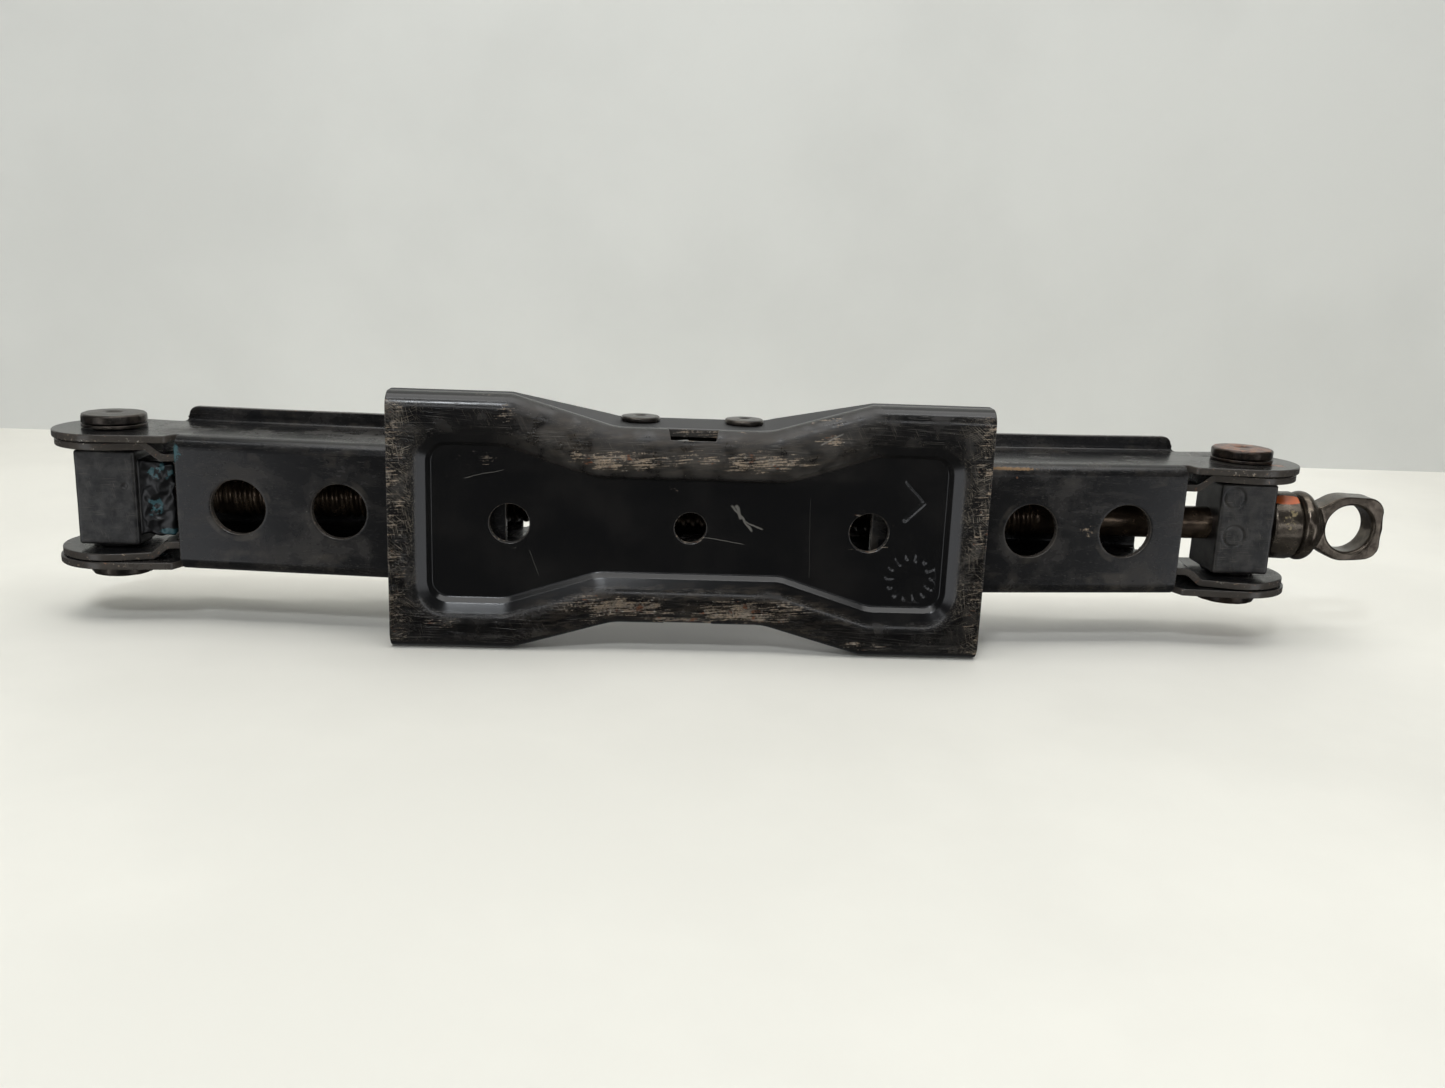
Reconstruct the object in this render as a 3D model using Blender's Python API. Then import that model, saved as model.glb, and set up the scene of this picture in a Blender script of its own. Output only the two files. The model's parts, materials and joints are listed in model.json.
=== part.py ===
"""A folding screw-driven scissor jack, folded flat, in metres with +Z up.

The base stands on the ground plane, +X points to the drive eye and Y is the width.
Every pressed part is laid out as a flat blank, folded and given its sheet thickness.
"""

import math

import bmesh
import bpy
from mathutils import Matrix, Vector
from mathutils.geometry import delaunay_2d_cdt

MM = 0.001
GAP = 0.3

# Linkage: the two lower pivots, the arms and the fold angle with the jack closed.
PIVOT_HALF = 16.0
PIVOT_HEIGHT = 19.0
TRUNNION_HALF = 181.0
TRUNNION_HEIGHT = 34.0
RISE = TRUNNION_HEIGHT - PIVOT_HEIGHT
RUN = TRUNNION_HALF - PIVOT_HALF
ARM_LENGTH = math.hypot(RUN, RISE)
FOLD_ANGLE = math.atan2(RISE, RUN)
SADDLE_PIVOT_HEIGHT = 2 * TRUNNION_HEIGHT - PIVOT_HEIGHT

# Gear sectors at the inner ends of the arms.
GEAR_TEETH = 16
PITCH_RADIUS = PIVOT_HALF
TIP_RADIUS = 17.3
ROOT_RADIUS = 14.3
PRESSURE_ANGLE = math.radians(20)
TOOTH_PITCH = 2 * math.pi / GEAR_TEETH
BACKLASH = math.radians(0.6)
SECTOR_TEETH = 4
FLANK_STEPS = 3
SECTOR_START = math.radians(-165)
SECTOR_END = math.radians(80)

# Arms: half widths, then places along the arm from the gear pivot or the lug pivot.
ARM_SHEET = 2.3
ARM_BEND = 4.0
WEB_OFFSET = 13.9
LOWER_HALF = 21.0
LOWER_GEAR_HALF = 26.9
LOWER_LUG = 18.0
LOWER_EDGE = 17.0
UPPER_HALF = 14.9
UPPER_LUG_HALF = LOWER_HALF - ARM_SHEET - GAP
UPPER_LUG = 17.3
UPPER_EDGE = 15.0
GEAR_EYE = 9.5
GEAR_JOGGLE = (36.0, 25.0)
LUG_JOGGLE = (ARM_LENGTH - 18.5, ARM_LENGTH - 12.7)
WEB_START = 38.9
LOWER_WEB_END = ARM_LENGTH - 24.9
UPPER_WEB_ENDS = {"left": ARM_LENGTH - 25.0, "right": ARM_LENGTH - 28.0}
NECK = ((16.0, 1.5), (38.0, 0.0))
SHOULDER = 12.5
LIP_START = 43.0
LIP_END = ARM_LENGTH - 15.5
LIP_RADIUS = 1.2
LIP_FLAT = 3.6
LIP_CORNER = 3.0
LIGHTENING_RADIUS = 8.5
LIGHTENING_X = (107.2, 138.4)

# Base plate: its long edges are lines at a set distance outside the panel's edge.
BASE_SHEET = 2.5
BASE_BEND = 5.0
BASE_HALF = 90.0
END_HALF = 39.0
PANEL_HALF = 77.5
PANEL_END_HALF = 23.2
PANEL_WAIST_HALF = 14.3
PANEL_CORNER = 5.0
PANEL_KNEE = 55.5
PANEL_WAIST = 28.0
PANEL_RISE = 4.0
STEP_OUT = 1.4
STEP_RISE = 2.4
SLOPE_OUT = 5.7
FLANGE_OUT = END_HALF - PANEL_END_HALF
CROWN_OUT = FLANGE_OUT - BASE_BEND
WAIST_HALF = PANEL_WAIST_HALF + FLANGE_OUT
WAIST_FLANGE = 28.0
END_FLANGE = 10.0
FLANGE_SLOPE = (54.0, 27.0)
PANEL_HOLES = ((-54.5, 6.0), (0.0, 4.8), (54.5, 6.0))
WINDOW_HALF = 6.3
BEND_STEPS = 4

# Pins, washers, blocks and screw.
PIVOT_PIN = 5.0
PIVOT_HEAD = 6.0
PIVOT_HEAD_LENGTH = 1.5
PIVOT_HEAD_CHAMFER = 0.8
TRUNNION_PIN = 6.0
TRUNNION_HEAD = 9.5
TRUNNION_HEAD_LENGTH = 3.0
TRUNNION_CHAMFER = 0.6
STUB_TIP = 8.0
WASHER_RADIUS = 9.7
WASHER_THICKNESS = 1.0
BLOCK = (18.5, 29.8, 20.0)
BLOCK_CHAMFER = 0.8
BLOCK_HALF = BLOCK[0] / 2
NUT_SLEEVE = (11.0, 23.6, 16.0)
BOSS_RADIUS = 8.5
BOSS_HEIGHT = 0.9
THREAD_RADIUS = 6.0
THREAD_CHAMFER = 1.2
SHANK_RADIUS = 5.4
THREAD_END = 115.0
THRUST_RADIUS = 8.6
THRUST_DEPTH = 1.8
THRUST_PROUD = 0.1
COLLAR_RADIUS = 11.2
COLLAR_CHAMFER = 0.5
COLLAR_END = 200.3
BEAD_RADIUS = 11.5
BEAD_END = 205.6
NECK_LENGTH = 4.5
EYE_END = 230.5
EYE_HALF = 10.8
EYE_THICKNESS = 8.8
EYE_HOLE = 7.8
EYE_HOLE_X = 218.8
EYE_EDGE = 0.9

# Saddle.
SADDLE_HALF = UPPER_HALF + GAP + BASE_SHEET
SADDLE_LENGTH_HALF = 29.0
SADDLE_TOP = 2 * TRUNNION_HEIGHT
SADDLE_BEND = 4.0
RIDGE_HEIGHT = 4.5
RIDGE_X = 9.5
RIDGE_HALF = 6.5
RIDGE_STEPS = 6
RIDGE_FADE = 8.0
SADDLE_SKIRT = 3.0
EAR_RADIUS = 10.5
SADDLE_BEND_START = SADDLE_HALF - SADDLE_BEND
SADDLE_BEND_END = SADDLE_BEND_START + SADDLE_BEND * math.pi / 2
SADDLE_AXLE = SADDLE_BEND_END + SADDLE_TOP - SADDLE_BEND - SADDLE_PIVOT_HEIGHT

# Sides of the round pieces and holes.
SIDES = 24

# The origin is at the middle of the closed length, on the ground.
SHIFT_X = (TRUNNION_HALF + LOWER_LUG - EYE_END) / 2


def clear_scene():
    for obj in list(bpy.data.objects):
        bpy.data.objects.remove(obj, do_unlink=True)


def material(name, colour, roughness, metallic):
    mat = bpy.data.materials.new(name)
    mat.use_nodes = True
    shader = mat.node_tree.nodes["Principled BSDF"]
    shader.inputs["Base Color"].default_value = (*colour, 1.0)
    shader.inputs["Roughness"].default_value = roughness
    shader.inputs["Metallic"].default_value = metallic
    return mat


def add_object(name, mesh, mat, location=(0, 0, 0), tilt=0.0):
    """Link a mesh as an object whose origin is at location (mm), tilted about Y."""
    obj = bpy.data.objects.new(name, mesh)
    bpy.context.collection.objects.link(obj)
    obj.location = Vector((location[0] + SHIFT_X, location[1], location[2])) * MM
    obj.rotation_euler = (0, tilt, 0)
    mesh.materials.clear()
    mesh.materials.append(mat)
    return obj


def finish_mesh(name, bm, smooth_angle=35):
    """Scale a bmesh from millimetres, face it outwards and make it a mesh."""
    bmesh.ops.recalc_face_normals(bm, faces=bm.faces)
    bmesh.ops.scale(bm, vec=(MM, MM, MM), verts=bm.verts)
    mesh = bpy.data.meshes.new(name)
    bm.to_mesh(mesh)
    bm.free()
    mesh.shade_smooth()
    mesh.set_sharp_from_angle(angle=math.radians(smooth_angle))
    return mesh


# ---------------------------------------------------------------- flat outlines


def arc(centre, radius, start, end, steps):
    """Points on an arc from start to end, in radians, both ends included."""
    return [
        (
            centre[0] + radius * math.cos(start + (end - start) * i / steps),
            centre[1] + radius * math.sin(start + (end - start) * i / steps),
        )
        for i in range(steps + 1)
    ]


def circle(centre, radius, steps):
    return arc(centre, radius, 0, 2 * math.pi, steps)[:-1]


def tangent_angle(point, centre, radius, turn):
    """Angle on the circle where a line from an outside point touches it."""
    dx = point[0] - centre[0]
    dy = point[1] - centre[1]
    return math.atan2(dy, dx) + turn * math.acos(radius / math.hypot(dx, dy))


def rounded(points, radii, steps):
    """An open path whose inner corners are replaced by arcs of the given radii."""
    path = [points[0]]
    for before, corner, after, radius in zip(points, points[1:], points[2:], radii):
        a = (Vector(before) - Vector(corner)).normalized()
        b = (Vector(after) - Vector(corner)).normalized()
        half = a.angle(b) / 2
        centre = Vector(corner) + (a + b).normalized() * radius / math.sin(half)
        start = Vector(corner) + a * radius / math.tan(half) - centre
        end = Vector(corner) + b * radius / math.tan(half) - centre
        first = math.atan2(start.y, start.x)
        sweep = math.remainder(math.atan2(end.y, end.x) - first, 2 * math.pi)
        path += arc(centre, radius, first, first + sweep, steps)
    path.append(points[-1])
    return path


def inside(point, loop):
    """Whether a point is inside a closed loop, by counting crossings."""
    x, y = point
    crossings = False
    for (ax, ay), (bx, by) in zip(loop, loop[1:] + loop[:1]):
        if (ay > y) != (by > y) and x < (bx - ax) * (y - ay) / (by - ay) + ax:
            crossings = not crossings
    return crossings


def triangulate(outline, holes, lines):
    """Triangles of a flat blank; lines are the folds that edges must follow."""
    points = []
    edges = []
    for loop in [outline, *holes]:
        first = len(points)
        points += loop
        edges += [(first + i, first + (i + 1) % len(loop)) for i in range(len(loop))]
    for start, end in lines:
        edges.append((len(points), len(points) + 1))
        points += [start, end]
    coords = [Vector(p) for p in points]
    verts, _, faces, *_ = delaunay_2d_cdt(coords, edges, [], 0, 1e-5)
    kept = []
    for face in faces:
        middle = sum((verts[i] for i in face), Vector((0, 0))) / len(face)
        if inside(middle, outline) and not any(inside(middle, h) for h in holes):
            kept.append(list(face))
    return verts, kept


def thicken(bm, thickness):
    """Turn an open sheet into a solid, growing along its face normals."""
    bm.normal_update()
    sheet = list(bm.faces)
    rims = [edge for edge in bm.edges if edge.is_boundary]
    inner = {}
    for vert in list(bm.verts):
        normal = sum((f.normal * f.calc_area() for f in vert.link_faces), Vector()).normalized()
        lean = sum(normal.dot(f.normal) for f in vert.link_faces) / len(vert.link_faces)
        inner[vert] = bm.verts.new(vert.co + normal * thickness / lean)
    for face in sheet:
        bm.faces.new([inner[v] for v in reversed(face.verts)])
    for edge in rims:
        a, b = edge.verts
        bm.faces.new([a, b, inner[b], inner[a]])


# ---------------------------------------------------------------- arms


def involute(angle):
    return math.tan(angle) - angle


def sector_outline(first_tooth):
    """Gear teeth about the pivot as (s, n) points, from below round to the top."""
    base_radius = PITCH_RADIUS * math.cos(PRESSURE_ANGLE)
    half_tooth = TOOTH_PITCH / 4 - BACKLASH / 2
    flank = [(ROOT_RADIUS, half_tooth + involute(PRESSURE_ANGLE))]
    for i in range(FLANK_STEPS + 1):
        radius = base_radius + (TIP_RADIUS - base_radius) * i / FLANK_STEPS
        pressure = math.acos(base_radius / radius)
        flank.append((radius, half_tooth + involute(PRESSURE_ANGLE) - involute(pressure)))
    points = []
    for tooth in range(SECTOR_TEETH):
        middle = first_tooth - tooth * TOOTH_PITCH
        rising = [(radius, middle + half) for radius, half in flank]
        falling = [(radius, middle - half) for radius, half in reversed(flank)]
        points += [(r * math.cos(a), r * math.sin(a)) for r, a in rising + falling]
    return points


class Arm:
    """The folded channel of one arm, in its own (s, y, n) frame from its gear pivot."""

    def __init__(self, half, gear_half, lug_half, lug, edge, web_end, lip, tooth, web_holes):
        self.half = half
        self.gear_half = gear_half
        self.lug_half = lug_half
        self.lug = lug
        self.edge = edge
        self.web_start = WEB_START
        self.web_end = web_end
        self.lip = lip
        self.tooth = tooth
        self.web_holes = web_holes
        self.bend_start = half - ARM_BEND
        self.bend_end = self.bend_start + ARM_BEND * math.pi / 2
        self.flange_foot = ARM_BEND - WEB_OFFSET
        self.lip_start = self.flange_t(edge)
        self.lip_end = self.lip_start + LIP_RADIUS * math.pi / 2

    def flange_t(self, n):
        return self.bend_end + n - self.flange_foot

    def spread(self, s):
        """How far the side plates are set outwards at s, through smooth joggles."""
        gear = smooth_step(s, *GEAR_JOGGLE) * (self.gear_half - self.half)
        lug = smooth_step(s, *LUG_JOGGLE) * (self.lug_half - self.half)
        return gear + lug

    def fold(self, s, t):
        """Where a point of the flat blank lies on the outer face of the folded arm."""
        side = math.copysign(1, t)
        t = abs(t)
        in_web = self.web_start - 1e-4 <= s <= self.web_end + 1e-4
        in_lip = self.lip and self.lip[0] - 1e-4 <= s <= self.lip[1] + 1e-4
        if in_web and t < self.bend_start:
            return Vector((s, side * t, -WEB_OFFSET))
        if in_web and t < self.bend_end:
            angle = (t - self.bend_start) / ARM_BEND
            y = self.bend_start + ARM_BEND * math.sin(angle)
            return Vector((s, side * y, ARM_BEND * (1 - math.cos(angle)) - WEB_OFFSET))
        y = self.half + self.spread(s)
        if in_lip and t > self.lip_start:
            angle = min((t - self.lip_start) / LIP_RADIUS, math.pi / 2)
            y += LIP_RADIUS * (1 - math.cos(angle)) + max(t - self.lip_end, 0)
            return Vector((s, side * y, self.edge + LIP_RADIUS * math.sin(angle)))
        return Vector((s, side * y, self.flange_foot + t - self.bend_end))

    def side_path(self):
        """Outline of one side plate as (s, n), from the web's inner to its outer end."""
        foot = self.flange_foot
        corner = (self.web_start - 2.5, 1.5 - WEB_OFFSET)
        path = [(self.web_start - 1, foot), corner]
        touch = tangent_angle(corner, (0, 0), GEAR_EYE, -1)
        path += arc((0, 0), GEAR_EYE, touch, SECTOR_START, 7)
        path += sector_outline(self.tooth)
        last = self.tooth - (SECTOR_TEETH - 0.5) * TOOTH_PITCH
        path += arc((0, 0), ROOT_RADIUS, last, SECTOR_END, 3)
        path += [(s, self.edge - below) for s, below in NECK]
        if self.lip:
            path += self.lip_path()
        lug = (ARM_LENGTH, 0)
        near = (self.web_end + 2.5, -0.4 - WEB_OFFSET)
        shoulder = (ARM_LENGTH - SHOULDER, self.edge)
        top = tangent_angle(shoulder, lug, self.lug, -1)
        bottom = tangent_angle(near, lug, self.lug, 1)
        path += [shoulder, *arc(lug, self.lug, top, bottom, 16)]
        path += [near, (self.web_end + 1, foot)]
        return path

    def lip_path(self):
        """The stiffening lip's edge, with rounded ends, as (s, n) in the blank."""
        start, end = self.lip
        rise = self.lip_end + LIP_FLAT - self.lip_start
        high = self.edge + rise - LIP_CORNER
        left = arc((start + LIP_CORNER, high), LIP_CORNER, math.pi, math.pi / 2, 3)
        right = arc((end - LIP_CORNER, high), LIP_CORNER, math.pi / 2, 0, 3)
        return [(start, self.edge), *left, *right, (end, self.edge)]

    def mesh(self, name, hand, lift, origin_s):
        """The arm as a solid; hand and lift mirror it, origin_s is its joint axis."""
        half = [(s, self.flange_t(n)) for s, n in self.side_path()]
        half = [(self.web_start, self.bend_end), *half, (self.web_end, self.bend_end)]
        outline = half + [(s, -t) for s, t in reversed(half)]
        holes = [circle((s, 0), LIGHTENING_RADIUS, SIDES) for s in self.web_holes]
        for side in (-1, 1):
            pivot = side * self.flange_t(0)
            holes.append(circle((0, pivot), PIVOT_PIN + GAP, 20))
            holes.append(circle((ARM_LENGTH, pivot), TRUNNION_PIN + GAP, SIDES))
        verts, faces = triangulate(outline, holes, self.fold_lines())
        bm = bmesh.new()
        placed = []
        for s, t in verts:
            folded = self.fold(s, t)
            placed.append(bm.verts.new(((folded.x - origin_s) * hand, folded.y, folded.z * lift)))
        for face in faces:
            order = face if hand * lift > 0 else face[::-1]
            bm.faces.new([placed[i] for i in order])
        bmesh.ops.delete(bm, geom=[v for v in bm.verts if not v.link_faces], context="VERTS")
        thicken(bm, ARM_SHEET)
        return finish_mesh(name, bm)

    def fold_lines(self):
        """Straight lines in the blank that keep each bend and joggle clean."""
        lines = []
        for side in (-1, 1):
            for i in range(4):
                t = side * (self.bend_start + ARM_BEND * math.pi / 2 * i / 3)
                lines.append(((self.web_start, t), (self.web_end, t)))
            if self.lip:
                for i in range(3):
                    t = side * (self.lip_start + LIP_RADIUS * math.pi / 2 * i / 2)
                    lines.append(((self.lip[0], t), (self.lip[1], t)))
            low = side * self.flange_t(-LOWER_LUG)
            high = side * self.flange_t(LOWER_LUG)
            joggles = [GEAR_JOGGLE, LUG_JOGGLE] if self.lug_half != self.half else [GEAR_JOGGLE]
            for start, end in joggles:
                stations = [start + (end - start) * i / 4 for i in range(5)]
                lines += [((s, low), (s, high)) for s in stations]
        return lines


def smooth_step(value, start, end):
    share = min(max((value - start) / (end - start), 0), 1)
    return share * share * (3 - 2 * share)


def web_station(x):
    """Distance along an arm of a point on its web at x from the jack's middle."""
    lean = WEB_OFFSET * math.sin(FOLD_ANGLE)
    return (x - PIVOT_HALF - lean) / math.cos(FOLD_ANGLE)


def first_tooth(hand):
    """Angle of the lowest tooth; left and right sectors differ by half a pitch."""
    meeting = math.pi - FOLD_ANGLE
    return meeting + hand * TOOTH_PITCH / 4


def lower_arm(side, hand, mat):
    arm = Arm(
        half=LOWER_HALF,
        gear_half=LOWER_GEAR_HALF,
        lug_half=LOWER_HALF,
        lug=LOWER_LUG,
        edge=LOWER_EDGE,
        web_end=LOWER_WEB_END,
        lip=(LIP_START, LIP_END),
        tooth=first_tooth(hand),
        web_holes=[web_station(x) for x in LIGHTENING_X],
    )
    mesh = arm.mesh(f"lower_arm_{side}", hand, 1, 0)
    location = (hand * PIVOT_HALF, 0, PIVOT_HEIGHT)
    add_object(f"lower_arm_{side}", mesh, mat, location, -hand * FOLD_ANGLE)


def upper_arm(side, hand, mat):
    arm = Arm(
        half=UPPER_HALF,
        gear_half=UPPER_HALF,
        lug_half=UPPER_LUG_HALF,
        lug=UPPER_LUG,
        edge=UPPER_EDGE,
        web_end=UPPER_WEB_ENDS[side],
        lip=None,
        tooth=first_tooth(hand),
        web_holes=[],
    )
    mesh = arm.mesh(f"upper_arm_{side}", hand, -1, ARM_LENGTH)
    location = (hand * TRUNNION_HALF, 0, TRUNNION_HEIGHT)
    add_object(f"upper_arm_{side}", mesh, mat, location, hand * FOLD_ANGLE)


# ---------------------------------------------------------------- base plate


def long_edge(out, end_x, opening=WINDOW_HALF):
    """The +Y long edge at a distance outside the panel's edge, as (x, y) from -X to +X."""
    waist_half = PANEL_WAIST_HALF + out
    end_half = PANEL_END_HALF + out
    waist = PANEL_WAIST - 0.32 * out
    knee = PANEL_KNEE - 0.12 * out
    points = [(opening, waist_half), (waist, waist_half), (knee, end_half), (end_x, end_half)]
    chain = rounded(points, (12 + out / 2, 14 - out / 2), 4)
    return [(-x, y) for x, y in reversed(chain)] + chain


def closed_ring(out, z):
    """A ring round the panel: the +Y edge, the +X end, the -Y edge and the -X end."""
    edge = long_edge(out, PANEL_HALF - PANEL_CORNER)
    end_x, half_end = edge[-1]
    corner = PANEL_CORNER + out
    right = arc((end_x, half_end - corner), corner, math.pi / 2, 0, 3)[1:]
    right += [(x, -y) for x, y in reversed(right)]
    ring = edge + right
    ring += [(-x, -y) for x, y in ring]
    return [(x, y, z) for x, y in ring]


def crown_ring(end_points):
    """The flat crown's outer ring, which runs straight out to the plate's two ends."""
    edge = long_edge(CROWN_OUT, BASE_HALF)
    half_end = edge[-1][1]
    share = [(i + 1) / (end_points + 1) for i in range(end_points)]
    ring = edge + [(BASE_HALF, half_end * (1 - 2 * part)) for part in share]
    ring += [(-x, -y) for x, y in ring]
    return [(x, y, 0) for x, y in ring]


def flange_height(x):
    share = smooth_step(abs(x), *FLANGE_SLOPE)
    return END_FLANGE + (WAIST_FLANGE - END_FLANGE) * share


def bridge(bm, lower, upper, closed, skip=()):
    """Quads between two matched rows of vertices, leaving out the skipped ones."""
    count = len(lower)
    for i in range(count if closed else count - 1):
        if i not in skip:
            j = (i + 1) % count
            bm.faces.new([lower[i], lower[j], upper[j], upper[i]])


def base_flange(bm, chain, side, holes):
    """The upright side of the base, from the bend's end to its free edge."""
    lengths = [0.0]
    for a, b in zip(chain, chain[1:]):
        lengths.append(lengths[-1] + math.dist(a, b))
    middle = lengths[-1] / 2
    outline = [(length, BASE_BEND) for length in lengths]
    outline += [(ln, flange_height(p[0])) for ln, p in reversed(list(zip(lengths, chain)))]
    loops = [circle((middle + x, PIVOT_HEIGHT), PIVOT_PIN + GAP, 20) for x in holes]
    lines = [((ln, BASE_BEND), (ln, flange_height(p[0]))) for ln, p in zip(lengths, chain)]
    verts, faces = triangulate(outline, loops, lines)
    placed = []
    for length, z in verts:
        i = max(k for k in range(len(lengths) - 1) if lengths[k] <= length + 1e-6)
        share = (length - lengths[i]) / (lengths[i + 1] - lengths[i])
        x = chain[i][0] + (chain[i + 1][0] - chain[i][0]) * share
        y = chain[i][1] + (chain[i + 1][1] - chain[i][1]) * share
        placed.append(bm.verts.new((side * x, side * y, z)))
    for face in faces:
        bm.faces.new([placed[i] for i in face])


def base_plate(mat):
    bm = bmesh.new()
    rings = [
        closed_ring(0, PANEL_RISE),
        closed_ring(STEP_OUT, STEP_RISE),
        closed_ring(SLOPE_OUT, 0),
    ]
    count = len(long_edge(0, BASE_HALF))
    ends = len(rings[0]) // 2 - count
    rings.append(crown_ring(ends))
    rows = [[bm.verts.new(p) for p in ring] for ring in rings]
    for lower, upper in zip(rows, rows[1:]):
        bridge(bm, lower, upper, True)
    panel_faces(bm, rings[0])
    window = count // 2 - 1
    for side, row in ((1, rows[-1][:count]), (-1, rows[-1][count + ends:2 * count + ends])):
        for i in range(1, BEND_STEPS + 1):
            angle = math.pi / 2 * i / BEND_STEPS
            out = CROWN_OUT + BASE_BEND * math.sin(angle)
            chain = long_edge(out, BASE_HALF, WINDOW_HALF + 0.3 * i)
            z = BASE_BEND * (1 - math.cos(angle))
            upper = [bm.verts.new((side * x, side * y, z)) for x, y in chain]
            bridge(bm, row, upper, False, () if i == 1 else (window,))
            row = upper
        base_flange(bm, chain, side, (-PIVOT_HALF, PIVOT_HALF))
    bmesh.ops.remove_doubles(bm, verts=bm.verts, dist=1e-4)
    bmesh.ops.recalc_face_normals(bm, faces=bm.faces)
    bm.normal_update()
    lowest = min(bm.faces, key=lambda f: f.calc_center_median().z)
    if lowest.normal.z < 0:
        bmesh.ops.reverse_faces(bm, faces=bm.faces)
    thicken(bm, BASE_SHEET)
    add_object("base_plate", finish_mesh("base_plate", bm), mat)


def panel_faces(bm, ring):
    outline = [(x, y) for x, y, _ in ring]
    holes = [circle((x, 0), radius, SIDES) for x, radius in PANEL_HOLES]
    verts, faces = triangulate(outline, holes, [])
    placed = [bm.verts.new((x, y, PANEL_RISE)) for x, y in verts]
    for face in faces:
        bm.faces.new([placed[i] for i in face])


# ---------------------------------------------------------------- saddle


def ridge(x):
    """Height of the two cross ridges that hold a sill seam between them."""
    shares = [min(abs(x - centre) / RIDGE_HALF, 1) for centre in (-RIDGE_X, RIDGE_X)]
    return RIDGE_HEIGHT * sum(0.5 + 0.5 * math.cos(math.pi * share) for share in shares)


def saddle_fold(s, t):
    """Where a point of the saddle's flat blank lies, from the pin axes' height."""
    side = math.copysign(1, t)
    t = abs(t)
    top = SADDLE_TOP - SADDLE_PIVOT_HEIGHT
    if t < SADDLE_BEND_START:
        return Vector((s, side * t, top + ridge(s)))
    if t < SADDLE_BEND_END:
        angle = (t - SADDLE_BEND_START) / SADDLE_BEND
        y = SADDLE_BEND_START + SADDLE_BEND * math.sin(angle)
        return Vector((s, side * y, top + ridge(s) - SADDLE_BEND * (1 - math.cos(angle))))
    drop = t - SADDLE_BEND_END
    fade = 1 - smooth_step(drop, 0, RIDGE_FADE)
    return Vector((s, side * SADDLE_HALF, top - SADDLE_BEND - drop + ridge(s) * fade))


def saddle_outline():
    """One half of the blank: the top's long edge, the skirt and the ears round the pins."""
    length = SADDLE_LENGTH_HALF
    skirt = SADDLE_BEND_END + SADDLE_SKIRT
    half = [(length, SADDLE_BEND_END), (length, skirt)]
    half += arc((PIVOT_HALF, SADDLE_AXLE), EAR_RADIUS, 0, math.pi / 2, 5)
    half += arc((-PIVOT_HALF, SADDLE_AXLE), EAR_RADIUS, math.pi / 2, math.pi, 5)
    return half + [(-length, skirt), (-length, SADDLE_BEND_END)]


def saddle_lines():
    """Folds along the two bends and across the two ridges."""
    length = SADDLE_LENGTH_HALF
    reach = SADDLE_BEND_END + RIDGE_FADE
    folds = [SADDLE_BEND_START + SADDLE_BEND * math.pi / 2 * i / 3 for i in range(4)]
    folds.append(SADDLE_BEND_END + RIDGE_FADE / 2)
    lines = [((-length, side * t), (length, side * t)) for side in (-1, 1) for t in folds]
    for hand in (-1, 1):
        for i in range(RIDGE_STEPS + 1):
            s = hand * (RIDGE_X - RIDGE_HALF + 2 * RIDGE_HALF * i / RIDGE_STEPS)
            lines.append(((s, -reach), (s, reach)))
    return lines


def saddle(mat):
    half = saddle_outline()
    outline = half + [(s, -t) for s, t in reversed(half)]
    centres = [(hand * PIVOT_HALF, side * SADDLE_AXLE) for side in (-1, 1) for hand in (-1, 1)]
    holes = [circle(centre, PIVOT_PIN + GAP, 20) for centre in centres]
    verts, faces = triangulate(outline, holes, saddle_lines())
    bm = bmesh.new()
    placed = [bm.verts.new(saddle_fold(s, t)) for s, t in verts]
    for face in faces:
        bm.faces.new([placed[i] for i in reversed(face)])
    bmesh.ops.delete(bm, geom=[v for v in bm.verts if not v.link_faces], context="VERTS")
    thicken(bm, BASE_SHEET)
    add_object("saddle", finish_mesh("saddle", bm), mat, (0, 0, SADDLE_PIVOT_HEIGHT))


# ---------------------------------------------------------------- turned parts


def turned(name, profile, axis, segments=SIDES):
    """A turned solid about axis, from (distance, radius) points in order along it."""
    turn = Vector((0, 0, 1)).rotation_difference(Vector(axis)).to_matrix().to_4x4()
    bm = bmesh.new()
    rows = []
    for distance, radius in profile:
        ring = circle((0, 0), radius, segments)
        rows.append([bm.verts.new((x, y, distance)) for x, y in ring])
    for lower, upper in zip(rows, rows[1:]):
        bridge(bm, lower, upper, True)
    if profile[0] == profile[-1]:
        bmesh.ops.remove_doubles(bm, verts=bm.verts, dist=1e-4)
    else:
        bm.faces.new(reversed(rows[0]))
        bm.faces.new(rows[-1])
    bm.transform(turn)
    return finish_mesh(name, bm)


def sleeve_profile(start, end, inner, outer, chamfer):
    """A closed profile of a sleeve with chamfered outer rims."""
    return [
        (start, inner), (start, outer - chamfer), (start + chamfer, outer),
        (end - chamfer, outer), (end, outer - chamfer), (end, inner), (start, inner),
    ]


def washer_profile(start, end, inner, outer):
    return [(start, inner), (start, outer), (end, outer), (end, inner), (start, inner)]


def pivot_pin(name, x, z, seat, mat):
    """A long rivet across the jack with a head outside each side plate."""
    foot = seat + GAP
    tip = foot + PIVOT_HEAD_LENGTH
    rim = (tip - PIVOT_HEAD_CHAMFER, PIVOT_HEAD)
    half = [(foot, PIVOT_PIN), (foot, PIVOT_HEAD), rim, (tip, PIVOT_HEAD - PIVOT_HEAD_CHAMFER)]
    profile = [(-d, r) for d, r in reversed(half)] + half
    add_object(name, turned(name, profile, (0, 1, 0), 20), mat, (x, 0, z))


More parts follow.
